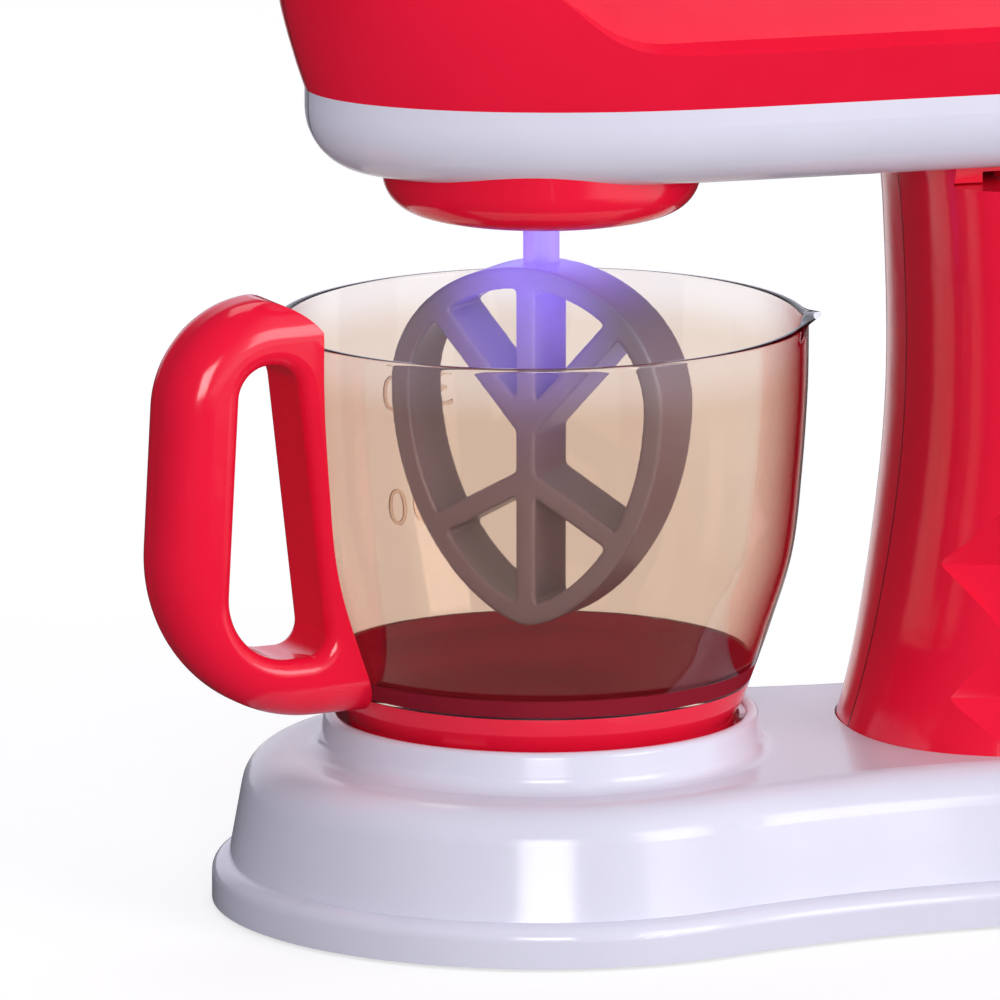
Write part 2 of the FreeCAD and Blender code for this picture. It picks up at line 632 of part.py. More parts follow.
def handle_solid():
    """The D-shaped handle on the -X side, before it is turned to its place."""
    def place(radius, z):
        return at(-radius, HANDLE_WIDTH / 2, z)

    outline = rounded_polygon(
        [
            (30.0, HANDLE_TOP, HANDLE_ROUND + 1),
            (HANDLE_REACH - HANDLE_LEAN, HANDLE_TOP, 22.0),
            (HANDLE_REACH, HANDLE_BOTTOM, 33.0),
            (27.0, HANDLE_BOTTOM, HANDLE_ROUND + 1),
        ],
        place,
    )
    top = HANDLE_TOP - HANDLE_END_BAR
    bottom = HANDLE_BOTTOM + HANDLE_END_BAR
    reach = HANDLE_REACH - HANDLE_OUTER_BAR
    hole = rounded_polygon(
        [
            (HANDLE_HOLE_TOP_RADIUS, top, 5.5),
            (reach - HANDLE_LEAN * 0.7, top, 6.5),
            (reach, bottom, 13.0),
            (HANDLE_HOLE_LOW_RADIUS, bottom, 4.5),
        ],
        place,
    )
    across = FreeCAD.Vector(0, -HANDLE_WIDTH, 0)
    body = Part.Face(outline).extrude(across)
    side_edges = [e for e in body.Edges if abs(e.BoundBox.YLength) < 0.01]
    body = body.makeFillet(HANDLE_ROUND, side_edges)
    window = Part.Face(hole).extrude(across)
    body = body.cut(window)
    near_hole = window.BoundBox
    near_hole.enlarge(0.5)
    rim_edges = [
        e for e in body.Edges
        if abs(e.BoundBox.YLength) < 0.01 and near_hole.isInside(e.BoundBox)
    ]
    body = body.makeFillet(HANDLE_HOLE_ROUND, rim_edges)
    return body.cut(cup_solid(0.0, FOOT_TOP)).cut(foot_solid(0.0, FOOT_TOP)).cut(shoulder_cutter())


def shoulder_cutter():
    """Rounds the handle's top where it comes down onto the rim."""
    radius = HANDLE_SHOULDER_RADIUS
    inner = CUP_RIM_RADIUS - 4.5
    square = block(-inner - radius, ROOM, -ROOM, ROOM, HANDLE_TOP - radius, ROOM)
    return square.cut(crosswise(radius, -inner - radius, HANDLE_TOP - radius, -ROOM, ROOM))


# ---- column -------------------------------------------------------------------------------
def column_section(inset, side_inset, row):
    """One level of the column: a rounded oblong."""
    z, front, rear, half_width, power = row
    middle = (front + rear) / 2
    half_length = (rear - front) / 2 - inset
    half = half_width - side_inset
    count = 40
    points = []
    for i in range(count):
        angle = 2 * math.pi * (i + 0.5) / count
        along = math.copysign(abs(math.cos(angle)) ** (2 / power), math.cos(angle))
        across = math.copysign(abs(math.sin(angle)) ** (2 / power), math.sin(angle))
        points.append(at(middle + half_length * along, half * across, z))
    return smooth_loop(points)


def column_solid(inset, low, high, side_inset=None):
    side = inset if side_inset is None else side_inset
    solid = Part.makeLoft([column_section(inset, side, row) for row in COLUMN_SECTIONS], True, False)
    first = COLUMN_SECTIONS[0]
    if low < first[0]:
        skirt = Part.Face(column_section(inset, side, first)).extrude(FreeCAD.Vector(0, 0, low - first[0]))
        solid = solid.fuse(skirt)
    return solid.common(block(-ROOM, ROOM, -ROOM, ROOM, low, high))


def column_half_width(offset, z):
    """How far the column's side stands from the centre plane at a place on it."""
    below = [row for row in COLUMN_SECTIONS if row[0] <= z][-1]
    above = [row for row in COLUMN_SECTIONS if row[0] > z][0]
    share = (z - below[0]) / (above[0] - below[0])
    front, rear, half, power = [low + (high - low) * share for low, high in zip(below[1:], above[1:])]
    along = abs(offset - (front + rear) / 2) / ((rear - front) / 2)
    return half * (1 - along ** power) ** (1 / power)


def facet_point(i, row):
    """One corner of the relief's triangles on the -Y side: rows are staggered by half a step."""
    stagger = 0.0 if row % 2 else FACET_STEP / 2
    offset = FACET_FIRST_OFFSET + i * FACET_STEP + stagger
    z = FACET_HEIGHTS[row]
    if row in (0, len(FACET_HEIGHTS) - 1) or i in (0, FACET_COLUMNS):
        depth = -FACET_PROUD
    else:
        depth = FACET_VALLEY if row % 2 else FACET_DIP
    return at(offset, depth - column_half_width(offset, z), z)


def facet_block():
    """The room in front of the faceted relief on the -Y side."""
    rows = len(FACET_HEIGHTS) - 1
    points = {(i, row): facet_point(i, row) for i in range(FACET_COLUMNS + 1) for row in range(rows + 1)}
    triangles = []
    for row in range(rows):
        for i in range(FACET_COLUMNS):
            a = points[i, row]
            b = points[i + 1, row]
            c = points[i, row + 1]
            d = points[i + 1, row + 1]
            triangles += [(a, b, c), (b, d, c)] if row % 2 else [(a, b, d), (a, d, c)]
    border = [points[i, 0] for i in range(FACET_COLUMNS)]
    border += [points[FACET_COLUMNS, row] for row in range(rows)]
    border += [points[i, rows] for i in range(FACET_COLUMNS, 0, -1)]
    border += [points[0, row] for row in range(rows, 0, -1)]
    behind = [FreeCAD.Vector(p.x, -COLUMN_SECTIONS[0][3] - 20, p.z) for p in border]
    faces = [polygon_face(corners) for corners in triangles]
    count = len(border)
    for i in range(count):
        j = (i + 1) % count
        faces.append(polygon_face([border[i], border[j], behind[j], behind[i]]))
    faces.append(polygon_face(behind))
    return Part.Solid(Part.Shell(faces))


def polygon_face(corners):
    return Part.Face(Part.makePolygon(list(corners) + [corners[0]]))


def build_column():
    outer = column_solid(0.0, BASE_TOP - COLUMN_SINK, HEAD_UNDERSIDE - 0.5)
    deck_cut = block(COLUMN_LIP_OFFSET, ROOM, -ROOM, ROOM, COLUMN_DECK, ROOM)
    outer = outer.cut(deck_cut)
    slope = block(0, ROOM, -ROOM, ROOM, 0, ROOM)
    slope.translate(FreeCAD.Vector(HINGE_OFFSET + 6.0, 0, COLUMN_DECK))
    slope.rotate(at(HINGE_OFFSET + 6.0, 0, COLUMN_DECK), FreeCAD.Vector(0, 1, 0), TILT_MAX + 4)
    outer = outer.cut(slope)
    facets = facet_block()
    outer = outer.cut(facets).cut(mirrored(facets))
    hollow = column_solid(WALL + 0.4, BASE_TOP - COLUMN_SINK + WALL, COLUMN_DECK - 9.0, COLUMN_SIDE_WALL)
    hollow = hollow.cut(slope_floor())
    shell = outer.cut(hollow)
    shell = shell.common(left_side())
    filled = outer.common(left_side())
    save("column_left", column_half(shell, filled, 0.0))
    save("column_right", mirrored(column_half(shell, filled, SCREW_HEAD_RADIUS + 0.4)))

    toward_left = FreeCAD.Vector(0, -1, 0)
    upward = FreeCAD.Vector(0, 0, 1)
    screws = [screw(at(offset, 8, z), toward_left, 14.0) for offset, z in column_joint_places()]
    floor = BASE_TOP - WALL - COLUMN_SINK
    screws += [screw(at(offset, y, floor), upward, 9.0) for offset, y in column_screw_places()]
    save("column_screws", Part.makeCompound(screws))
    pin = crosswise(HINGE_PIN_RADIUS, HINGE_OFFSET, HINGE_HEIGHT, -HINGE_LUG_END - 4, HINGE_LUG_END + 4)
    save("hinge_pin", pin)


def column_half(shell, filled, head_bore):
    """Adds posts, hinge ears and bores to the -Y half; head_bore widens the screw holes from outside."""
    rib = block(BUTTON_RIB_OFFSET - 2, BUTTON_RIB_OFFSET, -40, 40, BUTTON_HEIGHT - 12, BUTTON_HEIGHT + 12)
    added = [rib]
    for offset, z in column_joint_places():
        added.append(crosswise(POST_RADIUS, offset, z, -36, 36))
    for offset, y in column_screw_places():
        added.append(upright(POST_RADIUS, offset, y, BASE_TOP - COLUMN_SINK, BASE_TOP + 16))
    for piece in added:
        shell = shell.fuse(piece.common(filled))
    ear = crosswise(HINGE_RADIUS, HINGE_OFFSET, HINGE_HEIGHT, -HINGE_EAR_HALF, HINGE_EAR_HALF)
    web = block(
        HINGE_OFFSET - HINGE_RADIUS, HINGE_OFFSET + HINGE_RADIUS,
        -HINGE_EAR_HALF, HINGE_EAR_HALF, COLUMN_DECK - 5, HINGE_HEIGHT,
    )
    lug_room = HINGE_LUG_END + CLEARANCE
    outer_ear = crosswise(HINGE_RADIUS, HINGE_OFFSET, HINGE_HEIGHT, -lug_room - 5, -lug_room)
    ears = fuse_all([ear.common(left_side()), web.common(left_side()), outer_ear])
    shell = shell.fuse(ears).removeSplitter()
    room = HINGE_RADIUS + 0.6
    cuts = [
        crosswise(room, HINGE_OFFSET, HINGE_HEIGHT, -lug_room, -HINGE_EAR_HALF),
        block(HINGE_OFFSET - room, HINGE_OFFSET + room, -lug_room, -HINGE_EAR_HALF, HINGE_HEIGHT, HEAD_TOP),
        crosswise(HINGE_PIN_RADIUS, HINGE_OFFSET, HINGE_HEIGHT, -60, 60),
    ]
    cuts.append(lengthwise(BUTTON_RADIUS + CLEARANCE, BUTTON_RIB_OFFSET + 1, 150, 0, BUTTON_HEIGHT))
    flange_room = BUTTON_FLANGE_RADIUS + CLEARANCE
    cuts.append(lengthwise(flange_room, BUTTON_RIB_OFFSET, button_seat(), 0, BUTTON_HEIGHT))
    for offset, z in column_joint_places():
        cuts.append(crosswise(SCREW_SHANK_RADIUS, offset, z, -8, 1))
        if head_bore:
            cuts.append(crosswise(head_bore, offset, z, -60, -8))
    for offset, y in column_screw_places():
        cuts.append(upright(SCREW_SHANK_RADIUS, offset, y, 0, BASE_TOP + 9))
    for cut in cuts:
        shell = shell.cut(cut)
    return shell


def column_joint_places():
    return [(98.0, 56.0), (98.0, 96.0)]


def slope_floor():
    """Solid left under the sloping rear of the column's top."""
    solid = block(0, ROOM, -ROOM, ROOM, -9, ROOM)
    solid.translate(FreeCAD.Vector(HINGE_OFFSET + 6.0, 0, COLUMN_DECK))
    solid.rotate(at(HINGE_OFFSET + 6.0, 0, COLUMN_DECK), FreeCAD.Vector(0, 1, 0), TILT_MAX + 4)
    return solid


def button_seat():
    """Where the button's flange meets the inside of the column's rear wall."""
    return BUTTON_SKIN_OFFSET - WALL - 2.0


def build_button():
    seat = button_seat()
    outside = BUTTON_SKIN_OFFSET + BUTTON_PROUD
    cap = lengthwise(BUTTON_RADIUS, seat - 1.6, outside, 0, BUTTON_HEIGHT)
    cap = cap.makeFillet(1.2, [e for e in cap.Edges if e.BoundBox.XMin > BOWL_X + outside - 0.01])
    flange = lengthwise(BUTTON_FLANGE_RADIUS, seat - 1.6, seat, 0, BUTTON_HEIGHT)
    well = lengthwise(BUTTON_SPRING_RADIUS + 1.0, seat - 1.7, seat + 3.0, 0, BUTTON_HEIGHT)
    save("release_button", cap.fuse(flange).removeSplitter().cut(well))
    length = seat + 3.0 - BUTTON_RIB_OFFSET
    wire = BUTTON_SPRING_WIRE
    spring = coil(BUTTON_SPRING_RADIUS, wire, BUTTON_SPRING_PITCH, length - 2 * wire - 0.1)
    turn = FreeCAD.Rotation(FreeCAD.Vector(0, 0, 1), FreeCAD.Vector(1, 0, 0))
    spring.Placement = FreeCAD.Placement(at(BUTTON_RIB_OFFSET + wire + 0.05, 0, BUTTON_HEIGHT), turn)
    save("button_spring", spring)


# ---- head ---------------------------------------------------------------------------------
def head_outline(grow, narrow, z):
    """The head seen from above: long oval nose, straight sides and rounder rear.

    grow moves the whole outline outwards; narrow pulls it in towards the middle for the crown.
    """
    half = HEAD_HALF_WIDTH + grow - narrow
    front = HEAD_NOSE_OFFSET - grow + narrow * 0.92
    rear = HEAD_REAR_OFFSET + grow - narrow * 0.75
    nose = HEAD_NOSE_LENGTH * (half / HEAD_HALF_WIDTH) ** 0.6
    tail = HEAD_REAR_LENGTH * (half / HEAD_HALF_WIDTH) ** 0.6
    points = []
    steps = 14
    for i in range(steps + 1):
        angle = math.pi / 2 + math.pi * i / steps
        points.append(at(front + nose + nose * math.cos(angle), half * math.sin(angle), z))
    straight = [(front + nose) * (1 - t) + (rear - tail) * t for t in (0.25, 0.5, 0.75)]
    points += [at(x, -half, z) for x in straight]
    for i in range(steps + 1):
        angle = -math.pi / 2 + math.pi * i / steps
        points.append(at(rear - tail + tail * math.cos(angle), half * math.sin(angle), z))
    points += [at(x, half, z) for x in reversed(straight)]
    return smooth_loop(points)


def head_upper_solid(inset):
    """The red upper body, filled in; inset gives the room inside a wall of that thickness."""
    crown = HEAD_TOP - inset - HEAD_BULGE_HEIGHT
    sections = []
    for lift in (0.0, 7.0, 15.0, 22.0):
        share = lift / (HEAD_BULGE_HEIGHT - HEAD_PART_LINE)
        grow = HEAD_BULGE * math.sin(share * math.pi / 2)
        sections.append(head_outline(grow - inset, 0.0, HEAD_PART_LINE + lift))
    widest = HEAD_HALF_WIDTH + HEAD_BULGE - inset
    for angle in (0, 15, 30, 44, 56, 66, 74, 80):
        lean = math.radians(angle)
        narrow = widest * (1 - math.cos(lean) ** (2 / 2.3))
        height = crown * math.sin(lean) ** (2 / 2.3) if angle else 0.0
        sections.append(head_outline(HEAD_BULGE - inset, narrow, HEAD_BULGE_HEIGHT + height))
    return Part.makeLoft(sections, True, False)


def side_pocket(grow):
    """The sunk panel on the -Y side of the head, as a block with sloping edges."""
    def wire(y, widen):
        step = widen + grow

        def place(offset, z):
            return at(offset, y, z)

        return rounded_polygon(
            [
                (PANEL_FRONT_OFFSET + 20 - step * 0.4, PANEL_LOW - step, 22.0),
                (PANEL_FRONT_OFFSET - step, PANEL_LOW + 15, 7.0),
                (PANEL_FRONT_OFFSET + 7 - step * 0.5, PANEL_HIGH + step, 9.0),
                (PANEL_REAR_OFFSET + step, PANEL_HIGH + step, 14.0),
                (PANEL_REAR_OFFSET + step, PANEL_LOW - step, 14.0),
            ],
            place,
        )

    floor = -PANEL_HALF_WIDTH + grow
    outside = floor - PANEL_DEPTH - grow
    return Part.makeLoft([wire(floor, 0.0), wire(outside, PANEL_SLOPE * 1.6)], True, True)


def head_screw_places():
    return [(-16.0, 190.0), (60.0, 204.0), (132.0, 178.0)]


def lower_screw_places():
    return [(-30.0, 155.0), (146.0, 156.0)]


def lower_solid(inset):
    """The white lower body, filled in."""
    low = HEAD_UNDERSIDE + inset
    outline = head_outline(-inset, 0.0, low)
    solid = Part.Face(outline).extrude(FreeCAD.Vector(0, 0, HEAD_PART_LINE - low))
    bottom = [e for e in solid.Edges if e.BoundBox.ZMax < low + 0.01]
    return solid.makeFillet(HEAD_LOWER_ROUND - inset, bottom)


def build_head_upper():
    outer = head_upper_solid(0.0)
    pocket = side_pocket(0.0)
    outer = outer.cut(pocket).cut(mirrored(pocket))
    room_beside_panel = side_pocket(WALL)
    hollow = head_upper_solid(WALL).cut(room_beside_panel).cut(mirrored(room_beside_panel))
    shell = outer.cut(hollow)
    shell = shell.common(left_side())
    left = add_cross_posts(shell, outer, head_screw_places(), 8.0, 0.0)
    left = left.cut(crosswise(DIAL_SPINDLE_RADIUS + RUNNING_FIT, DIAL_OFFSET, DIAL_HEIGHT, -60, 0))
    save("head_upper_left", left)
    right = add_cross_posts(shell, outer, head_screw_places(), 8.0, SCREW_HEAD_RADIUS + 0.4)
    save("head_upper_right", mirrored(right))


def add_cross_posts(shell, filled, places, bore_depth, head_bore):
    """Adds screw posts along Y to a -Y half; head_bore widens their holes from outside."""
    for offset, z in places:
        shell = shell.fuse(crosswise(POST_RADIUS, offset, z, -60, 0).common(filled))
    for offset, z in places:
        shell = shell.cut(crosswise(SCREW_SHANK_RADIUS, offset, z, -bore_depth, 1))
        if head_bore:
            shell = shell.cut(crosswise(head_bore, offset, z, -60, -bore_depth))
    return shell


def gear_plate_posts():
    return [(-17.0, -20.0), (-17.0, 20.0), (68.0, -20.0), (68.0, 20.0)]


def hub_screw_places():
    places = []
    for angle in (60, 180, 300):
        lean = math.radians(angle)
        places.append((23.0 * math.cos(lean), 23.0 * math.sin(lean)))
    return places


def neck_screw_places():
    return [(79.0, -18.0), (79.0, 18.0), (106.0, -16.0), (106.0, 16.0)]


def build_head_lower():
    outer = lower_solid(0.0)
    hollow = lower_solid(WALL)
    lip_low = HEAD_PART_LINE - 2.0
    lip_outer = Part.Face(head_outline(-WALL - 0.1, 0.0, lip_low))
    lip_inner = Part.Face(head_outline(-WALL - 0.1 - HEAD_LIP_THICKNESS, 0.0, lip_low))
    rise = FreeCAD.Vector(0, 0, HEAD_PART_LINE + HEAD_LIP_HEIGHT - lip_low)
    lip = lip_outer.extrude(rise).cut(lip_inner.extrude(rise))
    ledge = Part.Face(head_outline(-WALL + 0.6, 0.0, lip_low)).extrude(FreeCAD.Vector(0, 0, 1.2))
    ledge = ledge.cut(lip_inner.extrude(rise))
    shell = fuse_all([outer.cut(hollow), lip, ledge])
    shell = shell.common(left_side())
    save("head_lower_left", head_lower_half(shell, outer, 0.0))
    save("head_lower_right", mirrored(head_lower_half(shell, outer, SCREW_HEAD_RADIUS + 0.4)))

    toward_left = FreeCAD.Vector(0, -1, 0)
    screws = [screw(at(offset, 8, z), toward_left, 15.0) for offset, z in head_screw_places()]
    screws += [screw(at(offset, 6, z), toward_left, 12.0) for offset, z in lower_screw_places()]
    save("head_screws", Part.makeCompound(screws))


def head_lower_half(shell, filled, head_bore):
    """Adds posts and bores to the -Y half of the white shell."""
    shell = add_cross_posts(shell, filled, lower_screw_places(), 6.0, head_bore)
    floor = HEAD_UNDERSIDE + WALL
    cuts = [upright(SHAFT_ROUND_RADIUS + 1.8, 0, 0, HEAD_UNDERSIDE - 1, floor + 1)]
    for offset, y in gear_plate_posts():
        if y < 0:
            shell = shell.fuse(upright(3.0, offset, y, HEAD_UNDERSIDE + 1, PLATE_LOW))
            cuts.append(upright(SCREW_SHANK_RADIUS, offset, y, PLATE_LOW - 8, PLATE_LOW + 1))
    for offset, y in hub_screw_places() + neck_screw_places():
        if y < SCREW_SHANK_RADIUS:
            cuts.append(upright(SCREW_SHANK_RADIUS + 0.1, offset, y, HEAD_UNDERSIDE - 1, floor + 1))
    for cut in cuts:
        shell = shell.cut(cut)
    return shell


def build_hub():
    """The shallow cover under the head; its wall follows the head's rounded lower edge."""
    above = HEAD_UNDERSIDE + 3.0
    outer = upright(HUB_RADIUS, 0, 0, HUB_BOTTOM, above)
    outer = outer.makeFillet(HUB_ROUND, [e for e in outer.Edges if e.BoundBox.ZMax < HUB_BOTTOM + 0.01])
    outer = outer.cut(lower_solid(0.0))
    hollow = upright(HUB_RADIUS - WALL, 0, 0, HUB_BOTTOM + WALL, above)
    hollow = hollow.makeFillet(
        HUB_ROUND - WALL, [e for e in hollow.Edges if e.BoundBox.ZMax < HUB_BOTTOM + WALL + 0.01],
    )
    shell = outer.cut(hollow)
    posts = [upright(3.0, offset, y, HUB_BOTTOM + 1, HEAD_UNDERSIDE) for offset, y in hub_screw_places()]
    shell = fuse_all([shell] + [post.common(outer) for post in posts])
    shell = shell.cut(upright(HUB_BORE, 0, 0, 0, HUB_BOTTOM + WALL + 1))
    for offset, y in hub_screw_places():
        shell = shell.cut(upright(SCREW_SHANK_RADIUS, offset, y, HUB_BOTTOM + 2, ROOM))
    save("hub_cover", shell)
    down = FreeCAD.Vector(0, 0, -1)
    floor = HEAD_UNDERSIDE + WALL
    screws = [screw(at(offset, y, floor), down, 7.0) for offset, y in hub_screw_places()]
    save("hub_screws", Part.makeCompound(screws))


def build_neck():
    top = HEAD_UNDERSIDE
    front = NECK_FRONT_OFFSET + 4
    plate = block(front, HINGE_OFFSET, -NECK_HALF_WIDTH, NECK_HALF_WIDTH, top - NECK_PLATE, top)
    pieces = [plate]
    under = COLUMN_DECK + CLEARANCE
    for y in (-NECK_HALF_WIDTH, NECK_HALF_WIDTH - 7):
        pieces.append(block(77.0, 83.0, y, y + 7, under, top))
        pieces.append(block(87.5, 98.0, y, y + 7, under, top))
    for low, high in [
        (HINGE_EAR_HALF + CLEARANCE, HINGE_LUG_END),
        (-HINGE_LUG_END, -HINGE_EAR_HALF - CLEARANCE),
    ]:
        pieces.append(crosswise(HINGE_RADIUS, HINGE_OFFSET, HINGE_HEIGHT, low, high))
        pieces.append(block(HINGE_OFFSET - HINGE_RADIUS, HINGE_OFFSET, low, high, HINGE_HEIGHT, top))
        pieces.append(block(HINGE_OFFSET - 16, HINGE_OFFSET, low, high, under, top))
    neck = fuse_all(pieces)
    ear_room = crosswise(HINGE_RADIUS + 0.4, HINGE_OFFSET, HINGE_HEIGHT, -HINGE_EAR_HALF, HINGE_EAR_HALF)
    neck = neck.cut(ear_room)
    ear_side = HINGE_EAR_HALF + CLEARANCE
    neck = neck.cut(block(HINGE_OFFSET - HINGE_RADIUS - 0.4, ROOM, -ear_side, ear_side, 0, ROOM))
    for side in (-1, 1):
        low = min(side * (HINGE_LUG_END + 0.01), side * 30)
        high = max(side * (HINGE_LUG_END + 0.01), side * 30)
        neck = neck.cut(block(HINGE_OFFSET - HINGE_RADIUS - 0.6, ROOM, low, high, 0, ROOM))
    neck = neck.cut(crosswise(HINGE_PIN_RADIUS + RUNNING_FIT, HINGE_OFFSET, HINGE_HEIGHT, -ROOM, ROOM))
    for offset, y in neck_screw_places():
        neck = neck.cut(upright(SCREW_SHANK_RADIUS, offset, y, 0, ROOM))
    save("neck_block", neck)
    down = FreeCAD.Vector(0, 0, -1)
    screws = [screw(at(offset, y, HEAD_UNDERSIDE + WALL), down, 3.6) for offset, y in neck_screw_places()]
    save("neck_screws", Part.makeCompound(screws))


# ---- drive --------------------------------------------------------------------------------
def gear(teeth, bore, offset, phase):
    """A spur gear with involute teeth, thinned by the backlash, turned by phase degrees."""
    pressure = math.radians(PRESSURE_ANGLE)
    pitch = GEAR_MODULE * teeth / 2
    base = pitch * math.cos(pressure)
    tip = pitch + 0.8 * GEAR_MODULE
    root = pitch - 1.05 * GEAR_MODULE
    half_tooth = (math.pi * GEAR_MODULE / 2 - GEAR_BACKLASH) / 2 / pitch
    flat = math.tan(pressure) - pressure
    flank = []
    start = max(base, root + 0.05)
    for i in range(6):
        radius = start + (tip - start) * i / 5
        roll = math.acos(min(1.0, base / radius))
        flank.append((radius, half_tooth + flat - (math.tan(roll) - roll)))
    edges = []

    def spot(radius, angle):
        return at(offset + radius * math.cos(angle), radius * math.sin(angle), GEAR_LOW)

    step = 2 * math.pi / teeth
    for i in range(teeth):
        centre = math.radians(phase) + i * step
        rising = Part.BSplineCurve()
        rising.interpolate([spot(radius, centre - lean) for radius, lean in flank])
        falling = Part.BSplineCurve()
        falling.interpolate([spot(radius, centre + lean) for radius, lean in reversed(flank)])
        first = flank[0][1]
        last = flank[-1][1]
        edges.append(Part.makeLine(spot(root, centre - first), spot(start, centre - first)))
        edges.append(rising.toShape())
        tip_points = [spot(tip, centre + lean) for lean in (-last, 0.0, last)]
        edges.append(Part.Arc(tip_points[0], tip_points[1], tip_points[2]).toShape())
        edges.append(falling.toShape())
        edges.append(Part.makeLine(spot(start, centre + first), spot(root, centre + first)))
        gap = centre + step / 2
        edges.append(Part.Arc(
            spot(root, centre + first), spot(root, gap), spot(root, centre + step - first),
        ).toShape())
    disc = Part.Face(Part.Wire(Part.__sortEdges__(edges)))
    solid = disc.extrude(FreeCAD.Vector(0, 0, GEAR_THICKNESS))
    return solid.cut(upright(bore, offset, 0, GEAR_LOW - 1, GEAR_LOW + GEAR_THICKNESS + 1))


def idler_offset():
    return GEAR_MODULE * (OUTPUT_TEETH + IDLER_TEETH) / 2


def pinion_offset():
    return idler_offset() + GEAR_MODULE * (IDLER_TEETH + PINION_TEETH) / 2


def build_gears():
    """Each gear meets the next with a tooth facing a gap on the line of centres."""
    output = gear(OUTPUT_TEETH, SHAFT_ROUND_RADIUS, 0.0, 0.0)
    hub = upright(6.0, 0, 0, GEAR_LOW, PLATE_LOW - 2.0).cut(upright(SHAFT_ROUND_RADIUS, 0, 0, 0, ROOM))
    save("output_gear", output.fuse(hub))
    idler_phase = 180.0 + 180.0 / IDLER_TEETH
    save("idler_gear", gear(IDLER_TEETH, IDLER_AXLE_RADIUS + RUNNING_FIT, idler_offset(), idler_phase))
    idler_tooth_angle = 360.0 / IDLER_TEETH
    turns = (0.0 - idler_phase) / idler_tooth_angle
    facing = turns - math.floor(turns)
    pinion_phase = 180.0 + 180.0 / PINION_TEETH - facing * 360.0 / PINION_TEETH
    save("motor_pinion", gear(PINION_TEETH, MOTOR_SHAFT_RADIUS, pinion_offset(), pinion_phase))
    axle = upright(IDLER_AXLE_RADIUS, idler_offset(), 0, GEAR_LOW - 1.5, PLATE_LOW + PLATE_THICKNESS + 0.5)
    collar = upright(2.6, idler_offset(), 0, GEAR_LOW - 1.5, GEAR_LOW - 0.3)
    save("idler_axle", axle.fuse(collar).removeSplitter())


def build_gear_plate():
    high = PLATE_LOW + PLATE_THICKNESS
    plate = block(-21, 72, -24, 24, PLATE_LOW, high)
    plate = plate.makeFillet(4.0, [e for e in plate.Edges if e.BoundBox.ZLength > PLATE_THICKNESS - 0.01])
    collar = upright(7.0, 0, 0, PLATE_LOW, high + 1.5)
    plate = plate.fuse(collar)
    plate = plate.cut(upright(4.9, 0, 0, 0, ROOM))
    plate = plate.cut(upright(IDLER_AXLE_RADIUS, idler_offset(), 0, 0, ROOM))
    plate = plate.cut(upright(3.1, pinion_offset(), 0, 0, ROOM))
    for offset, y in gear_plate_posts():
        plate = plate.cut(upright(SCREW_SHANK_RADIUS + 0.2, offset, y, 0, ROOM))
    for offset, y in board_posts():
        post = upright(2.2, offset, y, PLATE_LOW, board_low())
        plate = plate.fuse(post).cut(upright(0.9, offset, y, board_low() - 5, ROOM))
    save("gear_plate", plate)
    down = FreeCAD.Vector(0, 0, -1)
    screws = [screw(at(offset, y, high), down, 8.0) for offset, y in gear_plate_posts()]
    save("gear_plate_screws", Part.makeCompound(screws))
    bushing = upright(4.9, 0, 0, PLATE_LOW - 1.4, high + 1.5)
    bushing = bushing.fuse(upright(6.0, 0, 0, PLATE_LOW - 1.4, PLATE_LOW))
    bore = upright(SHAFT_ROUND_RADIUS + RUNNING_FIT, 0, 0, 0, ROOM)
    save("shaft_bushing", bushing.removeSplitter().cut(bore))


def board_posts():
    return [(-11.0, 0.0), (11.0, 0.0)]


def board_low():
    return SHAFT_TOP + 5.5


def build_board():
    board = block(-15, 15, -11, 11, board_low(), board_low() + 1.6)
    for offset, y in board_posts():
        board = board.cut(upright(0.9, offset, y, 0, ROOM))
    chip = block(-4, 4, 3.5, 8.5, board_low() + 1.6, board_low() + 3.4)
    drum = upright(3.0, -8.0, -6.5, board_low() + 1.6, board_low() + 9)
    save("circuit_board", fuse_all([board, chip, drum]))
    lens = upright(2.5, 0, 0, SHAFT_TOP + 2.6, board_low())
    dome = Part.makeSphere(2.5, at(0, 0, SHAFT_TOP + 2.8))
    dome = dome.common(block(-5, 5, -5, 5, SHAFT_TOP, SHAFT_TOP + 2.7))
    save("shaft_led", lens.fuse(dome).removeSplitter())


def build_motor():
    low = PLATE_LOW + PLATE_THICKNESS
    offset = pinion_offset()
    can = upright(MOTOR_RADIUS, offset, 0, low, low + MOTOR_LENGTH)
    can = can.common(block(offset - 12, offset + 12, -7.5, 7.5, low, ROOM))
    boss = upright(3.0, offset, 0, low - 1.6, low)
    cap = upright(5.0, offset, 0, low + MOTOR_LENGTH, low + MOTOR_LENGTH + 2.0)
    tabs = block(offset - 7, offset - 5.5, -3, 3, low + MOTOR_LENGTH - 1, low + MOTOR_LENGTH + 4)
    tabs = tabs.fuse(block(offset + 5.5, offset + 7, -3, 3, low + MOTOR_LENGTH - 1, low + MOTOR_LENGTH + 4))
    bore = upright(MOTOR_SHAFT_RADIUS + 0.1, offset, 0, 0, low + 6)
    save("motor", fuse_all([can, boss, cap, tabs]).cut(bore))
    save("motor_shaft", upright(MOTOR_SHAFT_RADIUS, offset, 0, GEAR_LOW, low + 5.9))


def build_shaft():
    half = SHAFT_SQUARE / 2
    square = block(-half, half, -half, half, BEATER_TOP, SHAFT_SQUARE_TOP)
    square = turned(square, SHAFT_TURN)
    round_part = upright(SHAFT_ROUND_RADIUS, 0, 0, SHAFT_SQUARE_TOP, SHAFT_TOP)
    tongue = block(-1.2, 1.2, -3.0, 3.0, BEATER_TOP - TONGUE_LENGTH + 0.1, BEATER_TOP)
    tongue = turned(tongue, BEATER_TURN)
    save("drive_shaft", fuse_all([square, round_part, tongue]))


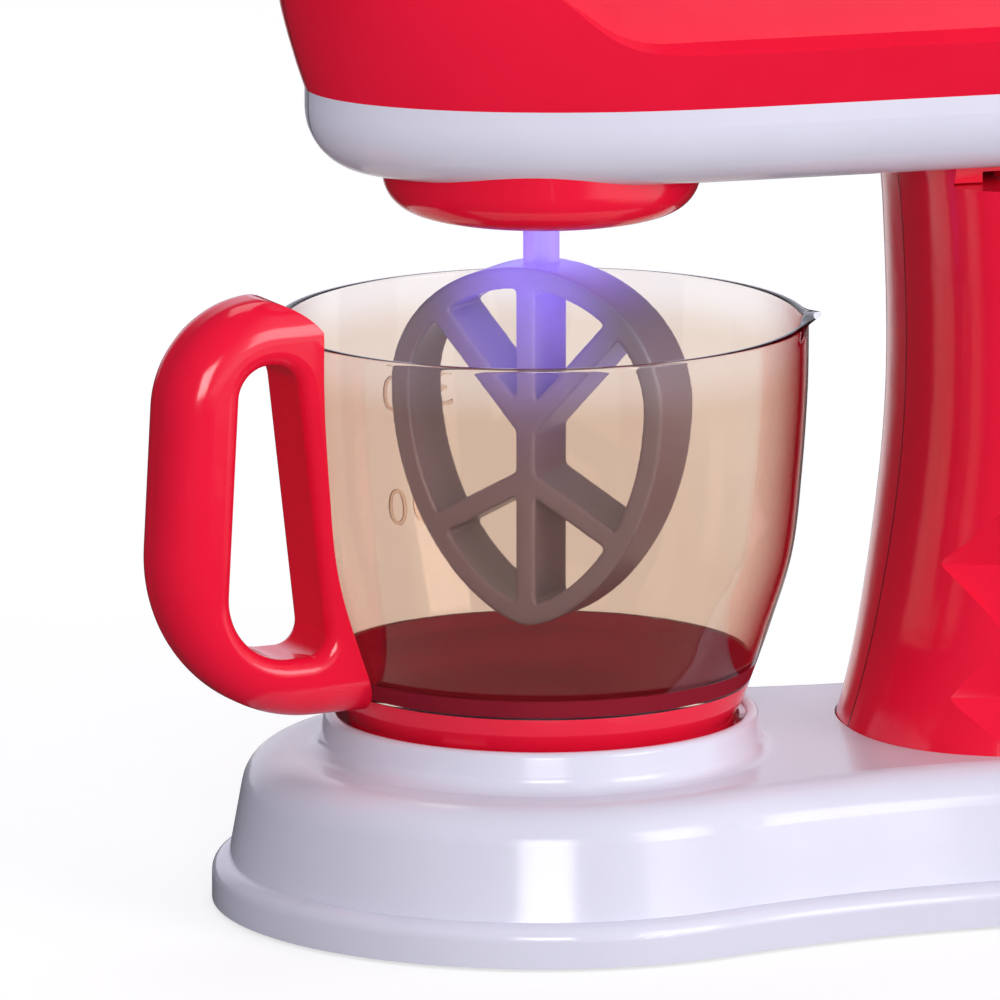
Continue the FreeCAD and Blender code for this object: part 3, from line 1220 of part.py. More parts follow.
def beater_loop(inset):
    """The egg outline, in the plane of the beater."""
    points = []
    count = 48
    for i in range(count):
        angle = 2 * math.pi * i / count
        up = math.sin(angle) >= 0
        reach = (BEATER_TOP - BEATER_WIDEST if up else BEATER_WIDEST - BEATER_BOTTOM) - inset
        power = 1.0 if up else 1.24
        along = math.copysign(abs(math.cos(angle)) ** power, math.cos(angle))
        points.append(at((BEATER_HALF_WIDTH - inset) * along, 0, BEATER_WIDEST + reach * math.sin(angle)))
    return smooth_loop(points)


def beater_bar(start, end):
    """A straight bar of the beater from start to end, each (sideways, height)."""
    run = FreeCAD.Vector(end[0] - start[0], 0, end[1] - start[1])
    corner = FreeCAD.Vector(0, -BEATER_DEPTH / 2, -BEATER_BAR / 2)
    bar = Part.makeBox(run.Length, BEATER_DEPTH, BEATER_BAR, corner)
    turn = FreeCAD.Rotation(FreeCAD.Vector(0, 1, 0), -math.degrees(math.atan2(run.z, run.x)))
    bar.Placement = FreeCAD.Placement(at(start[0], 0, start[1]), turn)
    return bar


def build_beater():
    depth = FreeCAD.Vector(0, BEATER_DEPTH, 0)
    back = FreeCAD.Vector(0, -BEATER_DEPTH / 2, 0)
    disc = Part.Face(beater_loop(0.0)).extrude(depth)
    disc.translate(back)
    inside = Part.Face(beater_loop(BEATER_BAR)).extrude(depth)
    inside.translate(back)
    ring = disc.cut(inside)
    reach = 20.5
    bars = [beater_bar((0, BEATER_BOTTOM + 2), (0, BEATER_TOP - 2))]
    for side in (-1, 1):
        bars.append(beater_bar((0, BEATER_UPPER_HUB), (side * reach, BEATER_UPPER_END)))
        bars.append(beater_bar((0, BEATER_LOWER_HUB), (side * reach, BEATER_LOWER_END)))
    middle = Part.Face(beater_loop(BEATER_BAR / 2)).extrude(depth)
    middle.translate(back)
    frame = ring.multiFuse([bar.common(middle) for bar in bars])
    slot = block(-1.25, 1.25, -3.05, 3.05, BEATER_TOP - TONGUE_LENGTH, ROOM)
    frame = frame.cut(slot)
    save("beater", turned(frame, BEATER_TURN))


# ---- controls -----------------------------------------------------------------------------
def build_dial():
    outer = -PANEL_HALF_WIDTH - CLEARANCE
    face = outer - DIAL_THICKNESS
    knob = crosswise(DIAL_RADIUS, DIAL_OFFSET, DIAL_HEIGHT, face, outer)
    knob = knob.makeFillet(1.0, [e for e in knob.Edges if e.BoundBox.YMax < face + 0.01])
    grooves = 16
    for i in range(grooves):
        lean = 2 * math.pi * i / grooves
        groove_offset = DIAL_OFFSET + (DIAL_RADIUS + 0.6) * math.cos(lean)
        groove_z = DIAL_HEIGHT + (DIAL_RADIUS + 0.6) * math.sin(lean)
        knob = knob.cut(crosswise(1.2, groove_offset, groove_z, face - 1, outer + 1))
    left = DIAL_OFFSET - 1.1
    right = DIAL_OFFSET + 1.1
    pointer = block(left, right, face - 1.0, face + 0.5, DIAL_HEIGHT, DIAL_HEIGHT + 9)
    spindle = crosswise(DIAL_SPINDLE_RADIUS, DIAL_OFFSET, DIAL_HEIGHT, outer - 0.5, switch_face() + 3.0)
    save("speed_dial", fuse_all([knob, pointer, spindle]))
    low = switch_face()
    body = block(DIAL_OFFSET - 9, DIAL_OFFSET + 9, low, low + 8, DIAL_HEIGHT - 7, DIAL_HEIGHT + 7)
    spindle_room = DIAL_SPINDLE_RADIUS + RUNNING_FIT
    body = body.cut(crosswise(spindle_room, DIAL_OFFSET, DIAL_HEIGHT, low - 1, low + 3.3))
    for i in range(3):
        leg = DIAL_OFFSET - 6 + i * 6
        body = body.fuse(block(leg - 0.8, leg + 0.8, low + 7, low + 11, DIAL_HEIGHT - 1, DIAL_HEIGHT + 1))
    save("speed_switch", body.removeSplitter())


def switch_face():
    """The switch body is glued to the inside of the head's side wall."""
    return -PANEL_HALF_WIDTH + WALL


build_base()
build_cells()
build_bowl()
build_column()
build_button()
build_head_upper()
build_head_lower()
build_hub()
build_neck()
build_gears()
build_gear_plate()
build_board()
build_motor()
build_shaft()
build_beater()
build_dial()
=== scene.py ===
import logging
import math
from dataclasses import dataclass, field, replace
from enum import Enum
from typing import Callable, Sequence, Union

import bpy
from mathutils import Matrix, Vector


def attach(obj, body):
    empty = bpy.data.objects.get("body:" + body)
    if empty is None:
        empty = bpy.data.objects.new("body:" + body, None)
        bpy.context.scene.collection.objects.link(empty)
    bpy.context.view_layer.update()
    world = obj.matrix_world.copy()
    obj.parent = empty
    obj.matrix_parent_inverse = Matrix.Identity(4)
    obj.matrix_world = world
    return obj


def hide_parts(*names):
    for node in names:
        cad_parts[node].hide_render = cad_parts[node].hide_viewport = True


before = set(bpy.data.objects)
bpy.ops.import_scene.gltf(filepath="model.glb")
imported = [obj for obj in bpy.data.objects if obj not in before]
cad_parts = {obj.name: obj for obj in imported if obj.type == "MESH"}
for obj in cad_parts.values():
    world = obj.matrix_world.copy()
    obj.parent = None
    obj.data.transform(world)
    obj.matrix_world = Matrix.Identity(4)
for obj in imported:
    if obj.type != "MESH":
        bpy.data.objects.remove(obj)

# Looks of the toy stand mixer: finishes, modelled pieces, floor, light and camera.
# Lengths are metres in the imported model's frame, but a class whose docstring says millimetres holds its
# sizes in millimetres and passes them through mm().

log = logging.getLogger("toy_mixer")
Colour = tuple[float, float, float]
Point = tuple[float, float, float]
Span = tuple[float, float]
Socket = bpy.types.NodeSocket
Tree = bpy.types.NodeTree

BOWL_X = -0.0386
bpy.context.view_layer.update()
PURE_WHITE = (1.0, 1.0, 1.0)
NO_LIGHT = (0.0, 0.0, 0.0)


def mm(value: float) -> float:
    """Millimetres to metres."""
    return value / 1000.0


def in_mm(value: float) -> float:
    """Metres to millimetres."""
    return value * 1000.0


def scaled(colour: Colour, share: float) -> Colour:
    """A colour made darker, to a share of its strength."""
    return tuple(part * share for part in colour)


class Body(Enum):
    """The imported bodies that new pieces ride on."""

    BOWL = "bowl"
    DRIVE = "drive"


class Slot(Enum):
    """The record's material slots for new pieces; no piece here is given one."""

    GREY = "grey_plastic"
    SMOKY = "smoky_plastic"


# ---- shader nodes --------------------------------------------------------------------------
def texture_place(tree: Tree, kind: str = "Object") -> Socket:
    """The socket that gives the place on a piece, or the direction in the world."""
    return tree.nodes.new("ShaderNodeTexCoord").outputs[kind]


def split_axes(tree: Tree, place: Socket) -> tuple[Socket, Socket, Socket]:
    """Splits a place into its parts.

    Args:
        tree: The tree to add the node to.
        place: The socket that gives the place.

    Returns:
        The sockets of X, Y and Z.
    """
    node = tree.nodes.new("ShaderNodeSeparateXYZ")
    tree.links.new(place, node.inputs["Vector"])
    return node.outputs["X"], node.outputs["Y"], node.outputs["Z"]


def noise(tree: Tree, place: Socket, scale: float, detail: float, rough: float) -> Socket:
    """A noise texture.

    Args:
        tree: The tree to add it to.
        place: The socket that gives the place.
        scale: How many features a metre.
        detail: Octaves.
        rough: How strong the finer octaves are.

    Returns:
        The socket of its value.
    """
    node = tree.nodes.new("ShaderNodeTexNoise")
    node.inputs["Scale"].default_value = scale
    node.inputs["Detail"].default_value = detail
    node.inputs["Roughness"].default_value = rough
    tree.links.new(place, node.inputs["Vector"])
    return node.outputs["Fac"]


def ramp(tree: Tree, value: Socket, low: float, high: float) -> Socket:
    """A smooth step of a value.

    Args:
        tree: The tree to add it to.
        value: The socket of the value.
        low: The value that gives 0.
        high: The value that gives 1, which may be the lesser of the two.

    Returns:
        The socket of the step.
    """
    node = tree.nodes.new("ShaderNodeMapRange")
    node.interpolation_type = "SMOOTHSTEP"
    node.inputs["From Min"].default_value = low
    node.inputs["From Max"].default_value = high
    tree.links.new(value, node.inputs["Value"])
    return node.outputs["Result"]


def maths(tree: Tree, operation: str, *values: Union[Socket, float]) -> Socket:
    """A math node.

    Args:
        tree: The tree to add it to.
        operation: The node's operation.
        values: Sockets or plain numbers, one for each input.

    Returns:
        The output socket.
    """
    node = tree.nodes.new("ShaderNodeMath")
    node.operation = operation
    for i, value in enumerate(values):
        if isinstance(value, (int, float)):
            node.inputs[i].default_value = value
        else:
            tree.links.new(value, node.inputs[i])
    return node.outputs["Value"]


def colour_mix(tree: Tree, factor: Socket, low: Union[Socket, Colour],
               high: Union[Socket, Colour]) -> Socket:
    """A blend of two colours.

    Args:
        tree: The tree to add it to.
        factor: The socket that gives how much of the second colour there is.
        low: The first colour, as numbers or a socket.
        high: The second colour, as numbers or a socket.

    Returns:
        The output socket.
    """
    node = tree.nodes.new("ShaderNodeMix")
    node.data_type = "RGBA"
    tree.links.new(factor, node.inputs["Factor"])
    for label, value in (("A", low), ("B", high)):
        if isinstance(value, tuple):
            node.inputs[label].default_value = (*value, 1.0)
        else:
            tree.links.new(value, node.inputs[label])
    return node.outputs["Result"]


def shader_mix(tree: Tree, factor: Socket, low: Socket, high: Socket) -> None:
    """Blends two shaders and makes the blend the tree's surface.

    Args:
        tree: The material's tree.
        factor: The socket that gives how much of the second shader there is.
        low: The first shader.
        high: The second shader.
    """
    node = tree.nodes.new("ShaderNodeMixShader")
    tree.links.new(factor, node.inputs["Fac"])
    tree.links.new(low, node.inputs[1])
    tree.links.new(high, node.inputs[2])
    tree.links.new(node.outputs["Shader"], tree.nodes["Material Output"].inputs["Surface"])


def add_bump(tree: Tree, shader: bpy.types.Node, height: Socket, strength: float, distance: float) -> None:
    """Gives a shader a fine relief.

    Args:
        tree: The material's tree.
        shader: The shader node.
        height: The socket that gives the relief.
        strength: How much of it shows, from 0 to 1.
        distance: How deep it is, in metres.
    """
    node = tree.nodes.new("ShaderNodeBump")
    node.inputs["Strength"].default_value = strength
    node.inputs["Distance"].default_value = distance
    tree.links.new(height, node.inputs["Height"])
    tree.links.new(node.outputs["Normal"], shader.inputs["Normal"])


def placed_group(tree: Tree, group: Tree, place: Socket,
                 values: dict[str, Union[float, Colour]]) -> bpy.types.Node:
    """Puts a shared node group into a material.

    Args:
        tree: The material's tree.
        group: The node group.
        place: The socket that gives the place.
        values: The value of each other input, by its name.

    Returns:
        The group's node.
    """
    node = tree.nodes.new("ShaderNodeGroup")
    node.node_tree = group
    tree.links.new(place, node.inputs["Vector"])
    for label, value in values.items():
        node.inputs[label].default_value = (*value, 1.0) if isinstance(value, tuple) else value
    return node


def blank_material(name: str) -> tuple[bpy.types.Material, Tree, bpy.types.Node]:
    """Starts a material.

    Args:
        name: The material's name.

    Returns:
        The material, its node tree and its shader node.
    """
    material = bpy.data.materials.new(name)
    material.use_nodes = True
    return material, material.node_tree, material.node_tree.nodes["Principled BSDF"]


# ---- node groups ---------------------------------------------------------------------------
@dataclass(frozen=True)
class Scratches:
    """One direction of hair-thin scratches: how it is turned, and its scale along each axis."""

    turn: Point
    scale: Point


class NodeGroups:
    """Shader node groups shared by the finishes, each built once."""

    speck_roughness: float = 0.03
    scratches: tuple[Scratches, ...] = (
        Scratches((0.28, 0.4, 0.64), (60.0, 1900.0, 90.0)),
        Scratches((1.33, 1.9, 3.04), (1500.0, 70.0, 110.0)),
    )

    def __init__(self) -> None:
        """Builds the groups."""
        self.skin = self._moulded_skin()
        self.scuffs = self._fine_scuffs()

    @staticmethod
    def _new(name: str, inputs: Sequence[tuple[str, str, object]],
             outputs: Sequence[tuple[str, str]]) -> tuple[Tree, bpy.types.Node, bpy.types.Node]:
        """Starts a node group.

        Args:
            name: The group's name.
            inputs: (name, socket type, default) of each input.
            outputs: (name, socket type) of each output.

        Returns:
            The tree, its input node and its output node.
        """
        tree = bpy.data.node_groups.new(name, "ShaderNodeTree")
        for label, kind, default in inputs:
            socket = tree.interface.new_socket(name=label, in_out="INPUT", socket_type=kind)
            if default is not None:
                socket.default_value = default
        for label, kind in outputs:
            tree.interface.new_socket(name=label, in_out="OUTPUT", socket_type=kind)
        return tree, tree.nodes.new("NodeGroupInput"), tree.nodes.new("NodeGroupOutput")

    def _moulded_skin(self) -> Tree:
        """Injection-moulded plastic: faint flow shading, orange peel and a fine grain.

        Returns:
            The group, with outputs Colour, Roughness and Height.
        """
        tree, given, result = self._new(
            "moulded_skin",
            [
                ("Vector", "NodeSocketVector", None),
                ("Colour", "NodeSocketColor", (0.8, 0.8, 0.8, 1.0)),
                ("Depth Colour", "NodeSocketColor", (0.7, 0.7, 0.7, 1.0)),
                ("Roughness", "NodeSocketFloat", 0.2),
                ("Roughness Spread", "NodeSocketFloat", 0.06),
                ("Grain", "NodeSocketFloat", 0.2),
            ],
            [("Colour", "NodeSocketColor"), ("Roughness", "NodeSocketFloat"), ("Height", "NodeSocketFloat")],
        )
        place = given.outputs["Vector"]
        flow = noise(tree, place, scale=26.0, detail=3.0, rough=0.5)
        peel = noise(tree, place, scale=190.0, detail=1.0, rough=0.4)
        grain = noise(tree, place, scale=2600.0, detail=2.0, rough=0.6)
        depth = ramp(tree, flow, low=0.38, high=0.72)
        colour = colour_mix(tree, depth, given.outputs["Colour"], given.outputs["Depth Colour"])
        tree.links.new(colour, result.inputs["Colour"])
        spread = maths(tree, "MULTIPLY_ADD", flow, given.outputs["Roughness Spread"],
                       given.outputs["Roughness"])
        speck = maths(tree, "MULTIPLY_ADD", grain, self.speck_roughness, spread)
        tree.links.new(speck, result.inputs["Roughness"])
        fine = maths(tree, "MULTIPLY", grain, given.outputs["Grain"])
        tree.links.new(maths(tree, "ADD", peel, fine), result.inputs["Height"])
        return tree

    def _fine_scuffs(self) -> Tree:
        """Hair-thin scratches from handling, as a mask from 0 to 1.

        Returns:
            The group, with output Mask.
        """
        tree, given, result = self._new(
            "fine_scuffs",
            [("Vector", "NodeSocketVector", None), ("Amount", "NodeSocketFloat", 0.5)],
            [("Mask", "NodeSocketFloat")],
        )
        place = given.outputs["Vector"]
        masks = []
        for direction in self.scratches:
            mapping = tree.nodes.new("ShaderNodeMapping")
            mapping.inputs["Rotation"].default_value = direction.turn
            mapping.inputs["Scale"].default_value = direction.scale
            tree.links.new(place, mapping.inputs["Vector"])
            streak = noise(tree, mapping.outputs["Vector"], scale=1.0, detail=1.0, rough=0.5)
            masks.append(ramp(tree, streak, low=0.70, high=0.74))
        patch = ramp(tree, noise(tree, place, scale=38.0, detail=2.0, rough=0.5), low=0.5, high=0.66)
        patchy = maths(tree, "MULTIPLY", maths(tree, "MAXIMUM", *masks), patch)
        tree.links.new(maths(tree, "MULTIPLY", patchy, given.outputs["Amount"]), result.inputs["Mask"])
        return tree


# ---- finishes ------------------------------------------------------------------------------
@dataclass(frozen=True)
class MouldedPlastic:
    """Opaque moulded plastic, glossy or satin.

    With seam, the mould's parting line shows where Y is 0. With lit, the shaft's light on the piece is
    painted as an emission glow, strongest at its top and near the bowl's axis. A span of fading is (none,
    full).
    """

    name: str
    colour: Colour
    depth_colour: Colour
    roughness: float = 0.16
    spread: float = 0.07
    specular: float = 0.5
    grain: float = 0.15
    bump: float = 0.05
    relief: float = 0.0006
    scuffs: float = 0.4
    scuff_roughness: float = 0.18
    scuff_height: float = -0.12
    seam: bool = False
    seam_fade: Span = (0.00042, 0.00016)
    seam_shade: float = 0.12
    lit: Colour = NO_LIGHT
    lit_across: Span = (0.026, 0.003)
    lit_up: Span = (0.070, 0.1275)
    lit_power: float = 2.2
    lit_least: float = 0.85
    lit_cloud: float = 0.3

    def build(self, groups: NodeGroups) -> bpy.types.Material:
        """Builds the material.

        Args:
            groups: The shared node groups.

        Returns:
            The material.
        """
        material, tree, shader = blank_material(self.name)
        place = texture_place(tree)
        skin = placed_group(tree, groups.skin, place, {
            "Colour": self.colour, "Depth Colour": self.depth_colour, "Roughness": self.roughness,
            "Roughness Spread": self.spread, "Grain": self.grain})
        scuff = placed_group(tree, groups.scuffs, place, {"Amount": self.scuffs}).outputs["Mask"]
        roughness = maths(tree, "MULTIPLY_ADD", scuff, self.scuff_roughness, skin.outputs["Roughness"])
        height = maths(tree, "MULTIPLY_ADD", scuff, self.scuff_height, skin.outputs["Height"])
        colour = skin.outputs["Colour"]
        if self.seam:
            off = maths(tree, "ABSOLUTE", split_axes(tree, place)[1])
            line = ramp(tree, off, *self.seam_fade)
            colour = colour_mix(tree, line, colour, scaled(self.colour, self.seam_shade))
        tree.links.new(colour, shader.inputs["Base Color"])
        tree.links.new(roughness, shader.inputs["Roughness"])
        add_bump(tree, shader, height, self.bump, self.relief)
        shader.inputs["Specular IOR Level"].default_value = self.specular
        if any(self.lit):
            self._paint_shaft_glow(tree, shader, place)
        return material

    def _paint_shaft_glow(self, tree: Tree, shader: bpy.types.Node, place: Socket) -> None:
        """Paints the shaft's light onto the piece as an emission glow.

        Args:
            tree: The material's tree.
            shader: Its shader node.
            place: The socket that gives the place.
        """
        x, y, z = split_axes(tree, place)
        along = maths(tree, "SUBTRACT", x, BOWL_X)
        square = maths(tree, "MULTIPLY_ADD", along, along, maths(tree, "MULTIPLY", y, y))
        near = ramp(tree, maths(tree, "SQRT", square), *self.lit_across)
        high = maths(tree, "POWER", ramp(tree, z, *self.lit_up), self.lit_power)
        cloud = noise(tree, place, scale=160.0, detail=2.0, rough=0.5)
        uneven = maths(tree, "MULTIPLY_ADD", cloud, self.lit_cloud, self.lit_least)
        share = maths(tree, "MULTIPLY", maths(tree, "MULTIPLY", near, high), uneven)
        # Painted glow: emission in place of the shaft's light falling on this opaque piece.
        tree.links.new(colour_mix(tree, share, NO_LIGHT, self.lit), shader.inputs["Emission Color"])
        shader.inputs["Emission Strength"].default_value = 1.0


@dataclass(frozen=True)
class ClearPlastic:
    """See-through plastic of one colour, a little hazy."""

    name: str
    colour: Colour
    roughness: float = 0.03
    ior: float = 1.45
    haze_roughness: float = 0.03
    scuffs: float = 0.5
    scuff_roughness: float = 0.10
    bump: float = 0.03
    relief: float = 0.0006
    shadow: Colour = (0.9, 0.9, 0.9)

    def build(self, groups: NodeGroups) -> bpy.types.Material:
        """Builds the material.

        Args:
            groups: The shared node groups.

        Returns:
            The material.
        """
        material, tree, shader = blank_material(self.name)
        place = texture_place(tree)
        haze = noise(tree, place, scale=55.0, detail=3.0, rough=0.5)
        scuff = placed_group(tree, groups.scuffs, place, {"Amount": self.scuffs}).outputs["Mask"]
        base = maths(tree, "MULTIPLY_ADD", haze, self.haze_roughness, self.roughness)
        roughness = maths(tree, "MULTIPLY_ADD", scuff, self.scuff_roughness, base)
        tree.links.new(roughness, shader.inputs["Roughness"])
        add_bump(tree, shader, haze, self.bump, self.relief)
        shader.inputs["Transmission Weight"].default_value = 1.0
        shader.inputs["IOR"].default_value = self.ior
        self._dye(tree, shader, place)
        self._let_light_through(tree, shader)
        return material

    def _dye(self, tree: Tree, shader: bpy.types.Node, place: Socket) -> None:
        """Gives the shader the plastic's one colour; tree and place are for finishes that vary."""
        shader.inputs["Base Color"].default_value = (*self.colour, 1.0)

    def _let_light_through(self, tree: Tree, shader: bpy.types.Node) -> None:
        """Lets lamp light through with a tint, as a plain shell would, in place of a full shadow.

        Args:
            tree: The material's tree.
            shader: Its shader node.
        """
        path = tree.nodes.new("ShaderNodeLightPath")
        clear = tree.nodes.new("ShaderNodeBsdfTransparent")
        clear.inputs["Color"].default_value = (*self.shadow, 1.0)
        shader_mix(tree, path.outputs["Is Shadow Ray"], shader.outputs["BSDF"], clear.outputs["BSDF"])


@dataclass(frozen=True)
class SmokyPlastic(ClearPlastic):
    """Clear plastic that is paler at the rim and deeper where the wall is seen edge-on."""

    rim_colour: Colour = PURE_WHITE
    rim_fade: Span = (0.0, 1.0)
    edge_colour: Colour = NO_LIGHT
    edge_fade: Span = (0.36, 0.92)

    def _dye(self, tree: Tree, shader: bpy.types.Node, place: Socket) -> None:
        """Colours the shader by height and by how the wall is turned to the eye.

        Args:
            tree: The material's tree.
            shader: Its shader node.
            place: The socket that gives the place.
        """
        high = ramp(tree, split_axes(tree, place)[2], *self.rim_fade)
        face_on = colour_mix(tree, high, self.colour, self.rim_colour)
        turned_away = tree.nodes.new("ShaderNodeLayerWeight").outputs["Facing"]
        edge = ramp(tree, turned_away, *self.edge_fade)
        tree.links.new(colour_mix(tree, edge, face_on, self.edge_colour), shader.inputs["Base Color"])


@dataclass(frozen=True)
class LitPlastic(ClearPlastic):
    """Clear plastic with lamp light in it, that grows with height."""

    glow: Colour = PURE_WHITE
    glow_strength: float = 1.0
    glow_fade: Span = (0.0, 1.0)
    glow_least: float = 0.35
    glow_cloud: float = 0.25

    def _dye(self, tree: Tree, shader: bpy.types.Node, place: Socket) -> None:
        """Gives the shader its colour and the light in the plastic.

        Args:
            tree: The material's tree.
            shader: Its shader node.
            place: The socket that gives the place.
        """
        super()._dye(tree, shader, place)
        high = ramp(tree, split_axes(tree, place)[2], *self.glow_fade)
        cloud = noise(tree, place, scale=140.0, detail=2.0, rough=0.5)
        share = maths(tree, "MULTIPLY_ADD", cloud, self.glow_cloud, high)
        glow = colour_mix(tree, share, scaled(self.glow, self.glow_least), self.glow)
        tree.links.new(glow, shader.inputs["Emission Color"])
        shader.inputs["Emission Strength"].default_value = self.glow_strength


@dataclass(frozen=True)
class PlatedMetal:
    """Plated or drawn metal of screws, pins and contacts."""

    name: str
    colour: Colour
    roughness: float = 0.28
    spread: float = 0.15
    grain: float = 0.8
    depth: float = 0.8
    bump: float = 0.1
    relief: float = 0.0004

    def build(self, groups: NodeGroups) -> bpy.types.Material:
        """Builds the material.

        Args:
            groups: The shared node groups.

        Returns:
            The material.
        """
        material, tree, shader = blank_material(self.name)
        skin = placed_group(tree, groups.skin, texture_place(tree), {
            "Colour": self.colour, "Depth Colour": scaled(self.colour, self.depth),
            "Roughness": self.roughness, "Roughness Spread": self.spread, "Grain": self.grain})
        tree.links.new(skin.outputs["Colour"], shader.inputs["Base Color"])
        tree.links.new(skin.outputs["Roughness"], shader.inputs["Roughness"])
        add_bump(tree, shader, skin.outputs["Height"], self.bump, self.relief)
        shader.inputs["Metallic"].default_value = 1.0
        return material


class Finish(Enum):
    """Every finish of the toy."""

    RED = MouldedPlastic("red_gloss", (0.93, 0.010, 0.045), (0.88, 0.008, 0.038), roughness=0.10, spread=0.05)
    RED_SEAMED = replace(RED, name="red_gloss_seamed", seam=True)
    WHITE = MouldedPlastic("cool_white_gloss", (0.77, 0.765, 0.86), (0.74, 0.735, 0.83), roughness=0.11,
                           spread=0.06)
    WHITE_SEAMED = replace(WHITE, name="cool_white_seamed", seam=True)
    # The beater's lit colour is a painted glow: emission that stands in for the shaft's light on it.
    GREY = MouldedPlastic("warm_grey_satin", (0.21, 0.175, 0.215), (0.19, 0.155, 0.195), roughness=0.24,
                          spread=0.08, specular=0.4, lit=(0.20, 0.13, 0.80))
    SMOKY = SmokyPlastic("smoky_clear", (0.83, 0.70, 0.60), roughness=0.01, shadow=(0.90, 0.82, 0.78),
                         rim_colour=(0.95, 0.90, 0.885), rim_fade=(0.104, 0.114),
                         edge_colour=(0.31, 0.085, 0.08))
    # Painted shade: an opaque dark red in place of the red foot seen, in shade, through the clear floor.
    BOWL_FLOOR = MouldedPlastic("red_foot_painted_shade", (0.27, 0.016, 0.030), (0.22, 0.012, 0.024), roughness=0.30,
                                spread=0.05, specular=0.0)
    SHAFT = LitPlastic("lit_clear", (0.42, 0.33, 0.82), roughness=0.42, glow=(0.34, 0.21, 0.85),
                       glow_strength=0.20, glow_fade=(0.112, 0.130))
    LENS = LitPlastic("lamp_lens", (0.8, 0.7, 1.0), roughness=0.1, glow=(0.45, 0.3, 1.0), glow_strength=4.0,
                      glow_fade=(0.0, 0.1))
    RUBBER = MouldedPlastic("black_rubber", (0.02, 0.02, 0.021), (0.03, 0.03, 0.03), roughness=0.6,
                            spread=0.15, specular=0.3, grain=0.9, bump=0.25)
    STEEL = PlatedMetal("plated_steel", (0.62, 0.62, 0.64))
    CELL = MouldedPlastic("cell_sleeve", (0.03, 0.03, 0.035), (0.05, 0.04, 0.03), roughness=0.25)
    GEAR = MouldedPlastic("gear_plastic", (0.78, 0.76, 0.70), (0.72, 0.70, 0.64), roughness=0.35, spread=0.1,
                          grain=0.4, bump=0.12)
    BLACK = MouldedPlastic("black_satin", (0.02, 0.02, 0.022), (0.03, 0.03, 0.032), roughness=0.4, spread=0.1,
                           grain=0.6, bump=0.15)
    BOARD = MouldedPlastic("board_green", (0.01, 0.10, 0.03), (0.01, 0.13, 0.05), roughness=0.35, spread=0.1,
                           grain=0.7, bump=0.2)


Materials = dict[Finish, bpy.types.Material]

NODE_FINISH = {
    Finish.WHITE: "base_shell base_bottom_plate battery_door",
    Finish.WHITE_SEAMED: "head_lower_left head_lower_right",
    Finish.RED: "hub_cover neck_block bowl_foot bowl_handle speed_dial release_button",
    Finish.RED_SEAMED: "column_left column_right head_upper_left head_upper_right",
    Finish.GREY: "beater",
    Finish.SMOKY: "bowl_cup",
    Finish.SHAFT: "drive_shaft",
    Finish.LENS: "shaft_led",
    Finish.RUBBER: "foot_pads",
    Finish.STEEL: "base_screws battery_door_screw battery_springs battery_contacts column_screws hinge_pin "
                  "button_spring head_screws hub_screws neck_screws gear_plate_screws idler_axle motor_shaft "
                  "motor",
    Finish.CELL: "battery_cells",
    Finish.GEAR: "output_gear idler_gear motor_pinion shaft_bushing",
    Finish.BLACK: "gear_plate speed_switch",
    Finish.BOARD: "circuit_board",
}


def dress_nodes(materials: Materials) -> None:
    """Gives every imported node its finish.

    Args:
        materials: The built materials.
    """
    for finish, names in NODE_FINISH.items():
        for name in names.split():
            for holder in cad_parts[name].material_slots:
                holder.material = materials[finish]
            log.info("dressed %s in %s", name, finish.name)


# ---- modelling tools -----------------------------------------------------------------------
def leave_edit() -> None:
    """Goes back to object mode."""
    bpy.ops.object.mode_set(mode="OBJECT")


def edit_all() -> None:
    """Goes into edit mode on the active piece with all of it selected."""
    bpy.ops.object.mode_set(mode="EDIT")
    bpy.ops.mesh.select_all(action="SELECT")


def deselect_all() -> None:
    """Leaves edit mode and selects nothing."""
    if bpy.context.object and bpy.context.object.mode != "OBJECT":
        leave_edit()
    bpy.ops.object.select_all(action="DESELECT")


def take_up(piece: bpy.types.Object) -> None:
    """Selects one piece and makes it active.

    Args:
        piece: The piece.
    """
    deselect_all()
    piece.select_set(True)
    bpy.context.view_layer.objects.active = piece


def settle(piece: bpy.types.Object) -> None:
    """Moves a piece's place, turn and scale into its mesh."""
    take_up(piece)
    bpy.ops.object.transform_apply(location=True, rotation=True, scale=True)


def joined(pieces: Sequence[bpy.types.Object], name: str) -> bpy.types.Object:
    """Joins pieces into one.

    Args:
        pieces: The pieces, which all go into the first.
        name: The joined piece's name.

    Returns:
        The joined piece.
    """
    take_up(pieces[0])
    for piece in pieces[1:]:
        piece.select_set(True)
    bpy.ops.object.join()
    whole = bpy.context.object
    whole.name = name
    return whole


def apply_modifier(piece: bpy.types.Object, kind: str, **settings: object) -> None:
    """Adds a modifier to a piece and applies it.

    Args:
        piece: The piece.
        kind: The modifier's type.
        settings: Its properties.
    """
    take_up(piece)
    modifier = piece.modifiers.new(kind.title(), kind)
    for name, value in settings.items():
        setattr(modifier, name, value)
    bpy.ops.object.modifier_apply(modifier=modifier.name)


